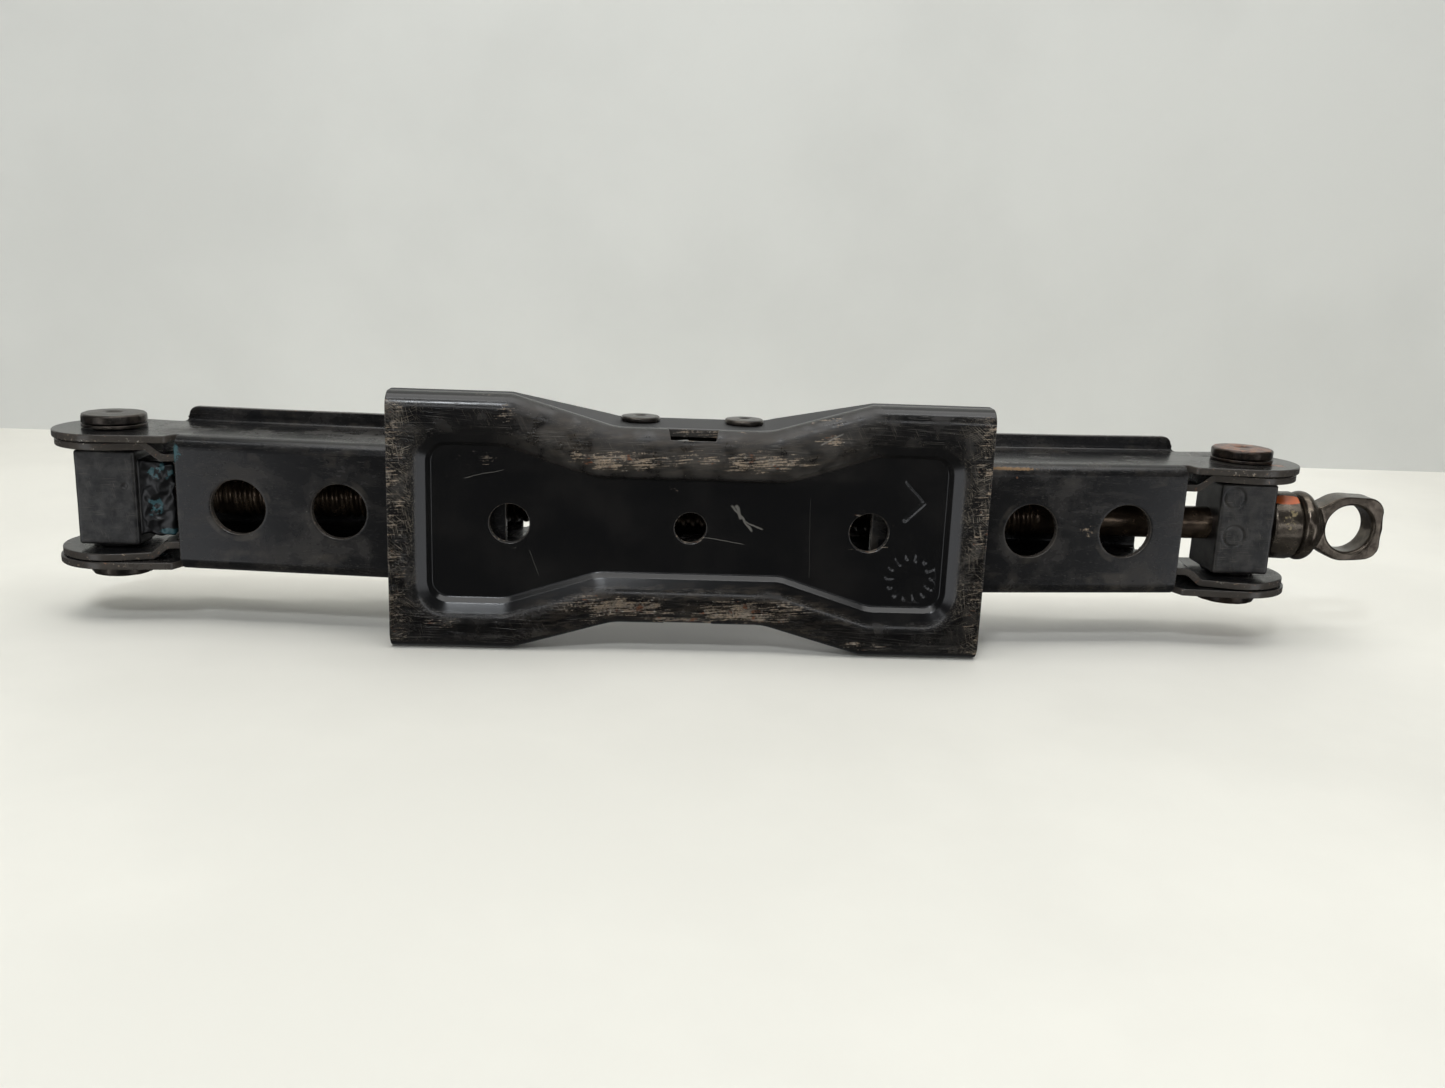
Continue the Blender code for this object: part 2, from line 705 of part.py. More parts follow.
def trunnion_pin(name, x, side, mat):
    """A headed stub pressed into one side of a trunnion block."""
    seat = LOWER_HALF + WASHER_THICKNESS + 2 * GAP
    tip = seat + TRUNNION_HEAD_LENGTH
    profile = [
        (STUB_TIP, TRUNNION_PIN), (seat, TRUNNION_PIN), (seat, TRUNNION_HEAD),
        (tip - TRUNNION_CHAMFER, TRUNNION_HEAD), (tip, TRUNNION_HEAD - TRUNNION_CHAMFER),
    ]
    add_object(name, turned(name, profile, (0, side, 0)), mat, (x, 0, TRUNNION_HEIGHT))


def trunnion_washer(name, x, side, mat):
    start = LOWER_HALF + GAP
    profile = washer_profile(start, start + WASHER_THICKNESS, TRUNNION_PIN + GAP, WASHER_RADIUS)
    add_object(name, turned(name, profile, (0, side, 0)), mat, (x, 0, TRUNNION_HEIGHT))


def hidden_tool(name, mesh, location):
    """A cutting or joining body that isn't part of the jack."""
    tool = bpy.data.objects.new(name, mesh)
    bpy.context.collection.objects.link(tool)
    tool.location = Vector((location[0] + SHIFT_X, location[1], location[2])) * MM
    tool.hide_render = True
    tool.display_type = "WIRE"
    return tool


def combine(obj, tool, operation):
    modifier = obj.modifiers.new(f"{operation}_{tool.name}", "BOOLEAN")
    modifier.operation = operation
    modifier.object = tool
    modifier.solver = "EXACT"


def chamfered_box(name, size, chamfer):
    bm = bmesh.new()
    bmesh.ops.create_cube(bm, size=1, matrix=Matrix.Diagonal((*size, 1)))
    bmesh.ops.bevel(bm, geom=bm.edges, offset=chamfer, segments=1, affect="EDGES")
    return finish_mesh(name, bm)


def trunnion_block(name, x, bore, mat, sleeve=None):
    """A block between the lugs: round bosses and bores for the two stubs and the screw."""
    place = (x, 0, TRUNNION_HEIGHT)
    block = add_object(name, chamfered_box(name, BLOCK, BLOCK_CHAMFER), mat, place)
    if sleeve:
        long_sleeve = (sleeve[0] + BLOCK_HALF, sleeve[1], sleeve[2])
        mesh = chamfered_box(f"{name}_sleeve_shape", long_sleeve, BLOCK_CHAMFER)
        middle = (x + long_sleeve[0] / 2, 0, TRUNNION_HEIGHT)
        combine(block, hidden_tool(f"{name}_sleeve", mesh, middle), "UNION")
    reach = BLOCK[1] / 2 + BOSS_HEIGHT
    boss = turned(f"{name}_boss_shape", [(-reach, BOSS_RADIUS), (reach, BOSS_RADIUS)], (0, 1, 0))
    combine(block, hidden_tool(f"{name}_boss", boss, place), "UNION")
    for side, label in ((-1, "front"), (1, "back")):
        stub = [(STUB_TIP - GAP, TRUNNION_PIN + GAP), (reach + 1, TRUNNION_PIN + GAP)]
        mesh = turned(f"{name}_{label}_bore_shape", stub, (0, side, 0))
        combine(block, hidden_tool(f"{name}_{label}_bore", mesh, place), "DIFFERENCE")
    mesh = turned(f"{name}_screw_bore_shape", bore, (1, 0, 0))
    combine(block, hidden_tool(f"{name}_screw_bore", mesh, place), "DIFFERENCE")


def plain_bore(radius):
    return [(-BLOCK_HALF - 1, radius), (BLOCK_HALF + NUT_SLEEVE[0] + 1, radius)]


def counterbore(radius, wide, depth):
    """A screw bore with a wider seat for the thrust washer at its +X end."""
    floor = BLOCK_HALF - depth
    return [(-BLOCK_HALF - 1, radius), (floor, radius), (floor, wide), (BLOCK_HALF + 1, wide)]


def thrust_washer(mat):
    face = TRUNNION_HALF + BLOCK_HALF
    start = face - THRUST_DEPTH + GAP
    profile = washer_profile(start, face + THRUST_PROUD, SHANK_RADIUS + GAP, THRUST_RADIUS)
    mesh = turned("thrust_washer", profile, (1, 0, 0))
    add_object("thrust_washer", mesh, mat, (0, 0, TRUNNION_HEIGHT))


def drive_parts(screw_mat, collar_mat):
    """The screw, its thrust collar and the eye that a crank hook turns."""
    height = (0, 0, TRUNNION_HEIGHT)
    left = -TRUNNION_HALF - BLOCK_HALF
    shank_tip = BEAD_END - 1.5
    profile = [
        (left, THREAD_RADIUS - THREAD_CHAMFER), (left + THREAD_CHAMFER, THREAD_RADIUS),
        (THREAD_END, THREAD_RADIUS), (THREAD_END, SHANK_RADIUS), (shank_tip, SHANK_RADIUS),
    ]
    add_object("drive_screw", turned("drive_screw", profile, (1, 0, 0)), screw_mat, height)
    start = TRUNNION_HALF + BLOCK_HALF + THRUST_PROUD + GAP
    profile = sleeve_profile(
        start, COLLAR_END, SHANK_RADIUS + GAP, COLLAR_RADIUS, COLLAR_CHAMFER
    )
    add_object("thrust_collar", turned("thrust_collar", profile, (1, 0, 0), 28), collar_mat, height)
    drive_eye(COLLAR_END + GAP, shank_tip + GAP, screw_mat)


def drive_eye(start, socket_end, mat):
    """A forged bead and a flattened eye, with a socket for the screw's end."""
    height = (0, 0, TRUNNION_HEIGHT)
    middle = (start + BEAD_END) / 2
    half = (BEAD_END - start) / 2
    round_over = [math.pi * i / 6 for i in range(6)]
    profile = [
        (middle - half * math.cos(a), BEAD_RADIUS - half * (1 - math.sin(a))) for a in round_over
    ]
    profile += [(BEAD_END, 8.6), (BEAD_END + NECK_LENGTH / 2, 7.6), (BEAD_END + NECK_LENGTH, 4.0)]
    eye = add_object("drive_eye", turned("drive_eye", profile, (1, 0, 0), 28), mat, height)
    loop = hidden_tool("eye_loop", eye_loop(), height)
    combine(eye, loop, "UNION")
    hole = [(-EYE_THICKNESS, EYE_HOLE), (EYE_THICKNESS, EYE_HOLE)]
    hole_mesh = turned("eye_hole_shape", hole, (0, 0, 1), 28)
    combine(eye, hidden_tool("eye_hole", hole_mesh, (EYE_HOLE_X, 0, TRUNNION_HEIGHT)), "DIFFERENCE")
    socket = [(start - 1, SHANK_RADIUS + GAP), (socket_end, SHANK_RADIUS + GAP)]
    socket_mesh = turned("eye_socket_shape", socket, (1, 0, 0))
    combine(eye, hidden_tool("eye_socket", socket_mesh, height), "DIFFERENCE")


def eye_loop():
    """The flat loop round the hook hole: round at the neck, squarer at the tip."""
    points = [(BEAD_END - 1, 0), (BEAD_END - 1, 7.4), (EYE_HOLE_X - 5, EYE_HALF)]
    points += [(EYE_END, EYE_HALF - 1.0), (EYE_END, 0)]
    path = rounded(points, (2.5, 9, 4.5), 4)
    loop = path[1:-1]
    loop += [(x, -y) for x, y in reversed(loop)]
    bm = bmesh.new()
    low = [bm.verts.new((x, y, -EYE_THICKNESS / 2)) for x, y in loop]
    high = [bm.verts.new((x, y, EYE_THICKNESS / 2)) for x, y in loop]
    bridge(bm, low, high, True)
    caps = [bm.faces.new(low), bm.faces.new(high)]
    rims = {edge for cap in caps for edge in cap.edges}
    bmesh.ops.bevel(bm, geom=list(rims), offset=EYE_EDGE, segments=2, profile=0.5, affect="EDGES")
    return finish_mesh("eye_loop_shape", bm)


def main():
    clear_scene()
    arm_black = material("arm_black_paint", (0.030, 0.029, 0.031), 0.38, 0.0)
    base_black = material("base_black_paint", (0.012, 0.012, 0.013), 0.30, 0.0)
    pin_steel = material("pin_dark_steel", (0.045, 0.042, 0.040), 0.42, 0.6)
    rust_steel = material("rusted_pin_steel", (0.10, 0.055, 0.035), 0.6, 0.5)
    block_steel = material("block_black_steel", (0.035, 0.034, 0.036), 0.5, 0.4)
    screw_steel = material("screw_brown_steel", (0.075, 0.062, 0.052), 0.42, 0.8)
    base_plate(base_black)
    saddle(base_black)
    for side, hand in (("left", -1), ("right", 1)):
        lower_arm(side, hand, arm_black)
        upper_arm(side, hand, arm_black)
        x = hand * PIVOT_HALF
        pivot_pin(f"base_pin_{side}", x, PIVOT_HEIGHT, WAIST_HALF, pin_steel)
        pivot_pin(f"saddle_pin_{side}", x, SADDLE_PIVOT_HEIGHT, SADDLE_HALF, pin_steel)
        steel = rust_steel if hand > 0 else pin_steel
        for face, label in ((-1, "front"), (1, "back")):
            trunnion_pin(f"trunnion_pin_{side}_{label}", hand * TRUNNION_HALF, face, steel)
            trunnion_washer(f"trunnion_washer_{side}_{label}", hand * TRUNNION_HALF, face, steel)
    nut_bore = plain_bore(THREAD_RADIUS + GAP)
    bearing_bore = counterbore(SHANK_RADIUS + GAP, THRUST_RADIUS + GAP, THRUST_DEPTH)
    trunnion_block("nut_block", -TRUNNION_HALF, nut_bore, block_steel, NUT_SLEEVE)
    trunnion_block("bearing_block", TRUNNION_HALF, bearing_bore, block_steel)
    thrust_washer(screw_steel)
    drive_parts(screw_steel, block_steel)


main()
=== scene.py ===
"""The looks of a folded scissor jack: every pressed, turned and forged piece with its wear.

Shapes are worked out in millimetres about the jack's middle and placed from the frame.
"""

import dataclasses
import functools
import json
import math

import bmesh
import bpy
import numpy as np
from mathutils import Matrix, Vector, noise
from mathutils.geometry import delaunay_2d_cdt


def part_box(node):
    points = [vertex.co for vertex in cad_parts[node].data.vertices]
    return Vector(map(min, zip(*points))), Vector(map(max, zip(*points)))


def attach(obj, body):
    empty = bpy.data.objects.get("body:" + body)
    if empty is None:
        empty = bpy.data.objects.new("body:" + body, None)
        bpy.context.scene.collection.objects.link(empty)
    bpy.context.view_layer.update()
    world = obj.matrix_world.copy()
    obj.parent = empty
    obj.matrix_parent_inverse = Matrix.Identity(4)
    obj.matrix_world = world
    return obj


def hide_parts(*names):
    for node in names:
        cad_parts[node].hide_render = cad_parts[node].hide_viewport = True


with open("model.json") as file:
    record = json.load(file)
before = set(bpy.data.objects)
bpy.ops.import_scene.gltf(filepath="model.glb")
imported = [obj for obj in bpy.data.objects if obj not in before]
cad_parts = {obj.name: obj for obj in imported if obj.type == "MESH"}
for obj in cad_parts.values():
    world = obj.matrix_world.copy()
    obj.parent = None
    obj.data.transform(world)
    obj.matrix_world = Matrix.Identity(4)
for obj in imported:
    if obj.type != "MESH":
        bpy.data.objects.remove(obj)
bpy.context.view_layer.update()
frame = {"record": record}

NOISE_SEED = 7
MM = 0.001
JOINTS = {joint["name"]: joint for joint in frame["record"]["behaviour"]["joints"]}


def pivot(name):
    """A joint's point in millimetres."""
    return Vector(JOINTS[name]["pos_m"]) / MM


def node_box(name):
    low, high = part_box(name)
    return Vector(low) / MM, Vector(high) / MM


# The linkage comes from the joints, the outer sizes from the frame's boxes.
SHIFT_X = (pivot("lift_fold").x + pivot("lower_left_pivot").x) / 2
PIVOT_HALF = (pivot("lift_fold").x - pivot("lower_left_pivot").x) / 2
PIVOT_HEIGHT = pivot("lift_fold").z
TRUNNION_HALF = (pivot("bearing_pivot").x - pivot("nut_pivot").x) / 2
TRUNNION_HEIGHT = pivot("bearing_pivot").z
SADDLE_PIVOT_HEIGHT = pivot("saddle_pivot").z
RISE = TRUNNION_HEIGHT - PIVOT_HEIGHT
ARM_LENGTH = math.hypot(TRUNNION_HALF - PIVOT_HALF, RISE)
FOLD_ANGLE = math.asin(RISE / ARM_LENGTH)
BASE_HALF = (node_box("base_plate")[1].x - node_box("base_plate")[0].x) / 2
END_HALF = node_box("base_plate")[1].y
SADDLE_HALF = node_box("saddle")[1].y
SADDLE_LENGTH_HALF = (node_box("saddle")[1].x - node_box("saddle")[0].x) / 2
EYE_END = node_box("drive_eye")[1].x - SHIFT_X
GAP = 0.3

# Sheet metal: how far its edges are rounded over, and the layout of its meshes.
RIM = 0.35
RIM_STEPS = 3
GRID = 5.0
EDGE_LENGTH = 1.6
HOLE_SIDES = 64
PIN_HOLE_SIDES = 40
TRUNNION_HOLE_SIDES = 48
WEAR_REACH = 2.6
EDGE_ROWS = (0.45, 1.3, WEAR_REACH)

# Gear sectors at the inner ends of the arms.
GEAR_TEETH = 16
TIP_RADIUS = 17.3
ROOT_RADIUS = 14.3
PRESSURE_ANGLE = math.radians(20)
TOOTH_PITCH = 2 * math.pi / GEAR_TEETH
BACKLASH = math.radians(0.6)
SECTOR_TEETH = 4
FLANK_STEPS = 5
SECTOR_START = math.radians(-165)
SECTOR_END = math.radians(80)

# Arms: half widths, then places along the arm from the gear pivot or the lug pivot.
ARM_SHEET = 2.3
ARM_BEND = 4.0
WEB_OFFSET = 13.9
LOWER_HALF = 21.0
LOWER_GEAR_HALF = 26.9
LOWER_LUG = 18.0
LOWER_EDGE = 17.0
UPPER_HALF = 14.9
UPPER_LUG_HALF = LOWER_HALF - ARM_SHEET - GAP
UPPER_LUG = 17.3
UPPER_EDGE = 15.0
GEAR_EYE = 9.5
GEAR_JOGGLE = (36.0, 25.0)
LUG_JOGGLE = (ARM_LENGTH - 18.5, ARM_LENGTH - 12.7)
WEB_START = 38.9
LOWER_WEB_END = ARM_LENGTH - 24.9
UPPER_WEB_ENDS = {"left": ARM_LENGTH - 25.0, "right": ARM_LENGTH - 28.0}
NECK = ((16.0, 1.5), (38.0, 0.0))
SHOULDER = 12.5
LIP_START = 43.0
LIP_END = ARM_LENGTH - 15.5
LIP_RADIUS = 1.2
LIP_FLAT = 3.6
LIP_CORNER = 3.0
LIP_FILLET = 2.6
LIGHTENING_RADIUS = 8.5
LIGHTENING_X = (107.2, 138.4)

# Base plate: its long edges are lines at a set distance outside the panel's edge.
BASE_SHEET = 2.5
BASE_BEND = 5.0
PANEL_HALF = 77.5
PANEL_END_HALF = 23.2
PANEL_WAIST_HALF = 14.3
PANEL_CORNER = 5.0
PANEL_KNEE = 55.5
PANEL_WAIST = 28.0
PANEL_RISE = 4.0
STEP_OUT = 1.4
STEP_RISE = 2.4
SLOPE_OUT = 5.7
FLANGE_OUT = END_HALF - PANEL_END_HALF
CROWN_OUT = FLANGE_OUT - BASE_BEND
WAIST_HALF = PANEL_WAIST_HALF + FLANGE_OUT
WAIST_FLANGE = 28.0
END_FLANGE = 10.0
FLANGE_SLOPE = (54.0, 27.0)
PANEL_HOLES = ((-54.5, 6.0), (0.0, 4.8), (54.5, 6.0))
WINDOW_HALF = 6.3
WINDOW_SLANT = 1.2

# Pins, washers, blocks and screw.
PIVOT_PIN = 5.0
PIVOT_HEAD = 6.0
PIVOT_HEAD_LENGTH = 1.5
TRUNNION_PIN = 6.0
TRUNNION_HEAD = 9.5
TRUNNION_HEAD_LENGTH = 3.0
STUB_TIP = 8.0
WASHER_RADIUS = 9.7
WASHER_THICKNESS = 1.0
BLOCK = (18.5, 29.8, 20.0)
BLOCK_HALF = BLOCK[0] / 2
NUT_SLEEVE = (11.0, 23.6, 16.0)
GREASE_LUMP = 0.9
BOSS_RADIUS = 8.5
BOSS_HEIGHT = 0.9
THREAD_RADIUS = 6.0
THREAD_DEPTH = 1.0
THREAD_PITCH = 3.0
SHANK_RADIUS = 5.4
THREAD_END = 115.0
THREAD_RUNOUT = 4.0
THREAD_SIDES = 40
THREAD_ROWS = 10
THRUST_RADIUS = 8.6
THRUST_DEPTH = 1.8
THRUST_PROUD = 0.1
COLLAR_RADIUS = 11.2
COLLAR_END = 200.3
BEAD_RADIUS = 11.5
BEAD_END = 205.6
NECK_LENGTH = 4.5
EYE_HALF = 10.8
EYE_THICKNESS = 8.8
EYE_HOLE = 7.8
EYE_HOLE_X = 218.8
FORGE_VOXEL = 0.32

# Saddle.
SADDLE_TOP = 2 * TRUNNION_HEIGHT
SADDLE_BEND = 4.0
RIDGE_HEIGHT = 4.5
RIDGE_X = 9.5
RIDGE_HALF = 6.5
RIDGE_STEPS = 18
RIDGE_FADE = 8.0
SADDLE_SKIRT = 3.0
EAR_RADIUS = 10.5
SADDLE_BEND_START = SADDLE_HALF - SADDLE_BEND
SADDLE_BEND_END = SADDLE_BEND_START + SADDLE_BEND * math.pi / 2
SADDLE_AXLE = SADDLE_BEND_END + SADDLE_TOP - SADDLE_BEND - SADDLE_PIVOT_HEIGHT


# ---------------------------------------------------------------- flat outlines


def smooth_step(value, start, end):
    share = min(max((value - start) / (end - start), 0), 1)
    return share * share * (3 - 2 * share)


def arc(centre, radius, start, end, steps):
    """Points on an arc from start to end, in radians, both ends included."""
    angles = [start + (end - start) * i / steps for i in range(steps + 1)]
    return [(centre[0] + radius * math.cos(a), centre[1] + radius * math.sin(a)) for a in angles]


def circle(centre, radius, steps):
    return arc(centre, radius, 0, 2 * math.pi, steps)[:-1]


def tangent_angle(point, centre, radius, turn):
    """Angle on the circle where a line from an outside point touches it."""
    dx = point[0] - centre[0]
    dy = point[1] - centre[1]
    return math.atan2(dy, dx) + turn * math.acos(radius / math.hypot(dx, dy))


def rounded(points, radii, steps):
    """An open path whose inner corners are replaced by arcs of the given radii."""
    path = [points[0]]
    for before, corner, after, radius in zip(points, points[1:], points[2:], radii):
        a = (Vector(before) - Vector(corner)).normalized()
        b = (Vector(after) - Vector(corner)).normalized()
        half = a.angle(b) / 2
        centre = Vector(corner) + (a + b).normalized() * radius / math.sin(half)
        start = Vector(corner) + a * radius / math.tan(half) - centre
        end = Vector(corner) + b * radius / math.tan(half) - centre
        first = math.atan2(start.y, start.x)
        sweep = math.remainder(math.atan2(end.y, end.x) - first, 2 * math.pi)
        path += arc(centre, radius, first, first + sweep, steps)
    path.append(points[-1])
    return path


def densify(loop, longest):
    """A closed loop with points added so that no side is longer than the limit."""
    dense = []
    for a, b in zip(loop, loop[1:] + loop[:1]):
        count = max(1, math.ceil(math.dist(a, b) / longest))
        dense += [(a[0] + (b[0] - a[0]) * i / count, a[1] + (b[1] - a[1]) * i / count)
                  for i in range(count)]
    return dense


def inset(loop, distance):
    """A closed loop set back to its left by a distance, with mitred corners."""
    points = np.array(loop)
    ahead = np.roll(points, -1, axis=0) - points
    ahead /= np.linalg.norm(ahead, axis=1)[:, None]
    behind = np.roll(ahead, 1, axis=0)
    left = np.stack([-ahead[:, 1] - behind[:, 1], ahead[:, 0] + behind[:, 0]], axis=1)
    left /= np.maximum(np.linalg.norm(left, axis=1)[:, None], 1e-9)
    lean = np.maximum(left[:, 0] * -ahead[:, 1] + left[:, 1] * ahead[:, 0], 0.5)
    return [tuple(p) for p in points + left * (distance / lean)[:, None]]


def mirrored(half):
    """A closed outline from its upper half, which runs from one end to the other."""
    return half + [(x, -y) for x, y in reversed(half)]


def turned_left(loop):
    """The loop run anticlockwise."""
    x, y = np.array(loop).T
    area = np.sum(x * np.roll(y, -1) - y * np.roll(x, -1))
    return loop if area > 0 else loop[::-1]


def sides(loop):
    points = np.array(loop)
    return points, np.roll(points, -1, axis=0)


def inside(points, loop):
    """Which of the points are inside a closed loop, by counting crossings."""
    a, b = sides(loop)
    x = points[:, 0][:, None]
    y = points[:, 1][:, None]
    above = (a[:, 1] > y) != (b[:, 1] > y)
    rise = np.where(b[:, 1] == a[:, 1], 1, b[:, 1] - a[:, 1])
    crossing = (b[:, 0] - a[:, 0]) * (y - a[:, 1]) / rise + a[:, 0]
    return np.sum(above & (x < crossing), axis=1) % 2 == 1


def edge_distance(points, loops):
    """How far each point is from the nearest loop."""
    best = np.full(len(points), 1e9)
    for loop in loops:
        a, b = sides(loop)
        run = b - a
        share = ((points[:, None, :] - a) * run).sum(2) / np.maximum((run * run).sum(1), 1e-12)
        nearest = a + run * np.clip(share, 0, 1)[:, :, None]
        best = np.minimum(best, np.linalg.norm(points[:, None, :] - nearest, axis=2).min(1))
    return best


def lattice(loop, spacing):
    """A staggered grid of points over a loop's box."""
    low = np.min(loop, axis=0)
    high = np.max(loop, axis=0)
    rows = np.arange(low[1] + spacing / 2, high[1], spacing)
    points = []
    for i, y in enumerate(rows):
        start = low[0] + spacing * (0.5 if i % 2 else 0.25)
        points += [(x, y) for x in np.arange(start, high[0], spacing)]
    return np.array(points)


def blank(outline, holes, lines, extra=(), joined=False):
    """A flat blank as vertices, faces and nearness to its edge; lines are its folds.

    A joined blank's outline is part of a larger skin, so it stays where it is.
    """
    outline = turned_left(outline)
    if not joined:
        outline = inset(densify(outline, EDGE_LENGTH), RIM)
    holes = [inset(turned_left(hole)[::-1], RIM) for hole in holes]
    loops = [outline, *holes]
    points = []
    edges = []
    for loop in loops:
        first = len(points)
        points += loop
        edges += [(first + i, first + (i + 1) % len(loop)) for i in range(len(loop))]
    for start, end in lines:
        edges.append((len(points), len(points) + 1))
        points += [start, end]
    loose = [lattice(outline, GRID)]
    for reach in EDGE_ROWS:
        loose += [np.array(inset(loop, reach)) for loop in loops]
    loose.append(np.array(extra).reshape(-1, 2))
    clear = [GRID * 0.5] + [reach * 0.9 for reach in EDGE_ROWS for _ in loops] + [0.3]
    for group, reach in zip(loose, clear):
        within = inside(group, outline) & (edge_distance(group, loops) > reach)
        points += [tuple(p) for p in group[within]]
    coords = [Vector(p) for p in points]
    verts, _, faces, *_ = delaunay_2d_cdt(coords, edges, [], 0, 1e-4)
    places = np.array([tuple(v) for v in verts])
    middles = np.array([places[list(f)].mean(0) for f in faces])
    keep = inside(middles, outline)
    for hole in holes:
        keep &= ~inside(middles, hole)
    near = 1 - np.clip(edge_distance(places, loops) / WEAR_REACH, 0, 1)
    return verts, [list(f) for f, kept in zip(faces, keep) if kept], near


# ---------------------------------------------------------------- meshes


def join_rows(bm, lower, upper, closed=True, skip=()):
    """Quads between two rows of vertices, all round or from end to end."""
    count = len(lower)
    for i in range(count if closed else count - 1):
        if i not in skip:
            j = (i + 1) % count
            bm.faces.new([lower[i], lower[j], upper[j], upper[i]])


def linked(name, data):
    """A new object in the scene for a mesh, a light or a camera."""
    obj = bpy.data.objects.new(name, data)
    bpy.context.collection.objects.link(obj)
    return obj


def modify(obj, kind, **settings):
    modifier = obj.modifiers.new(kind.lower(), kind)
    for key, setting in settings.items():
        setattr(modifier, key, setting)


class Sheet:
    """An open skin with a wear value on each vertex, which over the rims is also the mask of a painted
    highlight, ready to be given a thickness.
    """

    def __init__(self):
        self.bm = bmesh.new()
        self.wear = self.bm.verts.layers.float.new("wear")
        self.inner = {}

    def vert(self, place, wear=0.0, inner=None):
        vert = self.bm.verts.new(place)
        vert[self.wear] = wear
        if inner is not None:
            self.inner[vert] = Vector(inner)
        return vert

    def add_blank(self, flat, fold, flip=False):
        """Add a blank's faces; fold makes the vertex for a point (s, t) and its wear."""
        points, faces, near = flat
        placed = [fold(s, t, wear) for (s, t), wear in zip(points, near)]
        for face in faces:
            self.bm.faces.new([placed[i] for i in (face[::-1] if flip else face)])

    def solid_mesh(self, name, thickness):
        loose = [vert for vert in self.bm.verts if not vert.link_faces]
        bmesh.ops.delete(self.bm, geom=loose, context="VERTS")
        self.thicken(thickness)
        return finish_mesh(name, self.bm)

    def thicken(self, thickness):
        """Give the skin its back along its normals and round its rims over."""
        bm = self.bm
        bm.normal_update()
        faces = list(bm.faces)
        rims = [edge for edge in bm.edges if edge.is_boundary]
        outward = {}
        for edge in rims:
            face = edge.link_faces[0]
            run = (edge.verts[1].co - edge.verts[0].co).normalized()
            out = run.cross(face.normal)
            if out.dot(face.calc_center_median() - edge.verts[0].co) > 0:
                out = -out
            for vert in edge.verts:
                outward.setdefault(vert, []).append(out)
        back = {}
        depth = {}
        for vert in list(bm.verts):
            target = self.inner.get(vert)
            if target is None:
                weights = [face.normal * face.calc_area() for face in vert.link_faces]
                normal = sum(weights, Vector()).normalized()
                target = vert.co + normal * thickness
            depth[vert] = target - vert.co
            back[vert] = bm.verts.new(target)
            back[vert][self.wear] = vert[self.wear]
        for face in faces:
            bm.faces.new([back[v] for v in reversed(face.verts)])
        rings = {vert: self.rim_ring(vert, back[vert], depth[vert], out)
                 for vert, out in outward.items()}
        for edge in rims:
            a, b = edge.verts
            loop = edge.link_loops[0]
            if loop.vert is not a:
                a, b = b, a
            for i in range(len(rings[a]) - 1):
                bm.faces.new([rings[b][i], rings[a][i], rings[a][i + 1], rings[b][i + 1]])

    def rim_ring(self, vert, back, depth, outs):
        """Vertices over the rim from the skin to its back, bulging by the rim radius."""
        mean = sum(outs, Vector()).normalized()
        reach = RIM / max(mean.dot(outs[0]), 0.6)
        along = depth.normalized()
        ring = [vert]
        quarter = [math.pi / 2 * i / RIM_STEPS for i in range(RIM_STEPS + 1)]
        turns = [(vert.co + along * RIM, math.sin(a), -math.cos(a)) for a in quarter[1:]]
        turns += [(back.co - along * RIM, math.cos(a), math.sin(a)) for a in quarter[:-1]]
        for centre, outwards, deeper in turns:
            spot = centre + mean * reach * outwards + along * RIM * deeper
            # Rim vertices get values of 1 to 1.5: wear, and the mask of the painted rim highlight.
            ring.append(self.vert(spot, 1.0 + 0.5 * outwards))
        ring.append(back)
        return ring


def dent(co, size, height):
    """A small smooth waviness for a point, the same on both sides of a sheet."""
    return noise.noise(co / size) * height


def finish_mesh(name, bm, smooth_angle=180):
    """Scale a bmesh from millimetres, face it outwards and shade it smooth."""
    bmesh.ops.recalc_face_normals(bm, faces=bm.faces)
    bmesh.ops.scale(bm, vec=(MM, MM, MM), verts=bm.verts)
    mesh = bpy.data.meshes.new(name)
    bm.to_mesh(mesh)
    bm.free()
    mesh.shade_smooth()
    if smooth_angle < 180:
        mesh.set_sharp_from_angle(angle=math.radians(smooth_angle))
    return mesh


def place(mesh, location, tilt=0.0):
    """Move a mesh's vertices to where the piece lies at rest."""
    move = Matrix.Translation((Vector(location) + Vector((SHIFT_X, 0, 0))) * MM)
    mesh.transform(move @ Matrix.Rotation(tilt, 4, "Y"))
    return mesh


def piece(name, mesh, mat, node, weighted=True):
    """Link a mesh as the piece that stands for a CAD node, on that node's body."""
    obj = linked(name, mesh)
    mesh.materials.clear()
    mesh.materials.append(mat)
    if weighted:
        modify(obj, "WEIGHTED_NORMAL", weight=50, keep_sharp=True)
    body = next(b for b, nodes in frame["record"]["behaviour"]["bodies"].items() if node in nodes)
    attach(obj, body)
    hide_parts(node)
    return obj


# ---------------------------------------------------------------- arms


def involute(angle):
    return math.tan(angle) - angle


def sector_outline(first_tooth):
    """Gear teeth about the pivot as (s, n) points, from below round to the top."""
    base_radius = PIVOT_HALF * math.cos(PRESSURE_ANGLE)
    half_tooth = TOOTH_PITCH / 4 - BACKLASH / 2
    flank = [(ROOT_RADIUS, half_tooth + involute(PRESSURE_ANGLE))]
    for i in range(FLANK_STEPS + 1):
        radius = base_radius + (TIP_RADIUS - base_radius) * i / FLANK_STEPS
        pressure = math.acos(base_radius / radius)
        flank.append((radius, half_tooth + involute(PRESSURE_ANGLE) - involute(pressure)))
    points = []
    for tooth in range(SECTOR_TEETH):
        middle = first_tooth - tooth * TOOTH_PITCH
        rising = [(radius, middle + half) for radius, half in flank]
        falling = [(radius, middle - half) for radius, half in reversed(flank)]
        points += [(r * math.cos(a), r * math.sin(a)) for r, a in rising + falling]
    return points


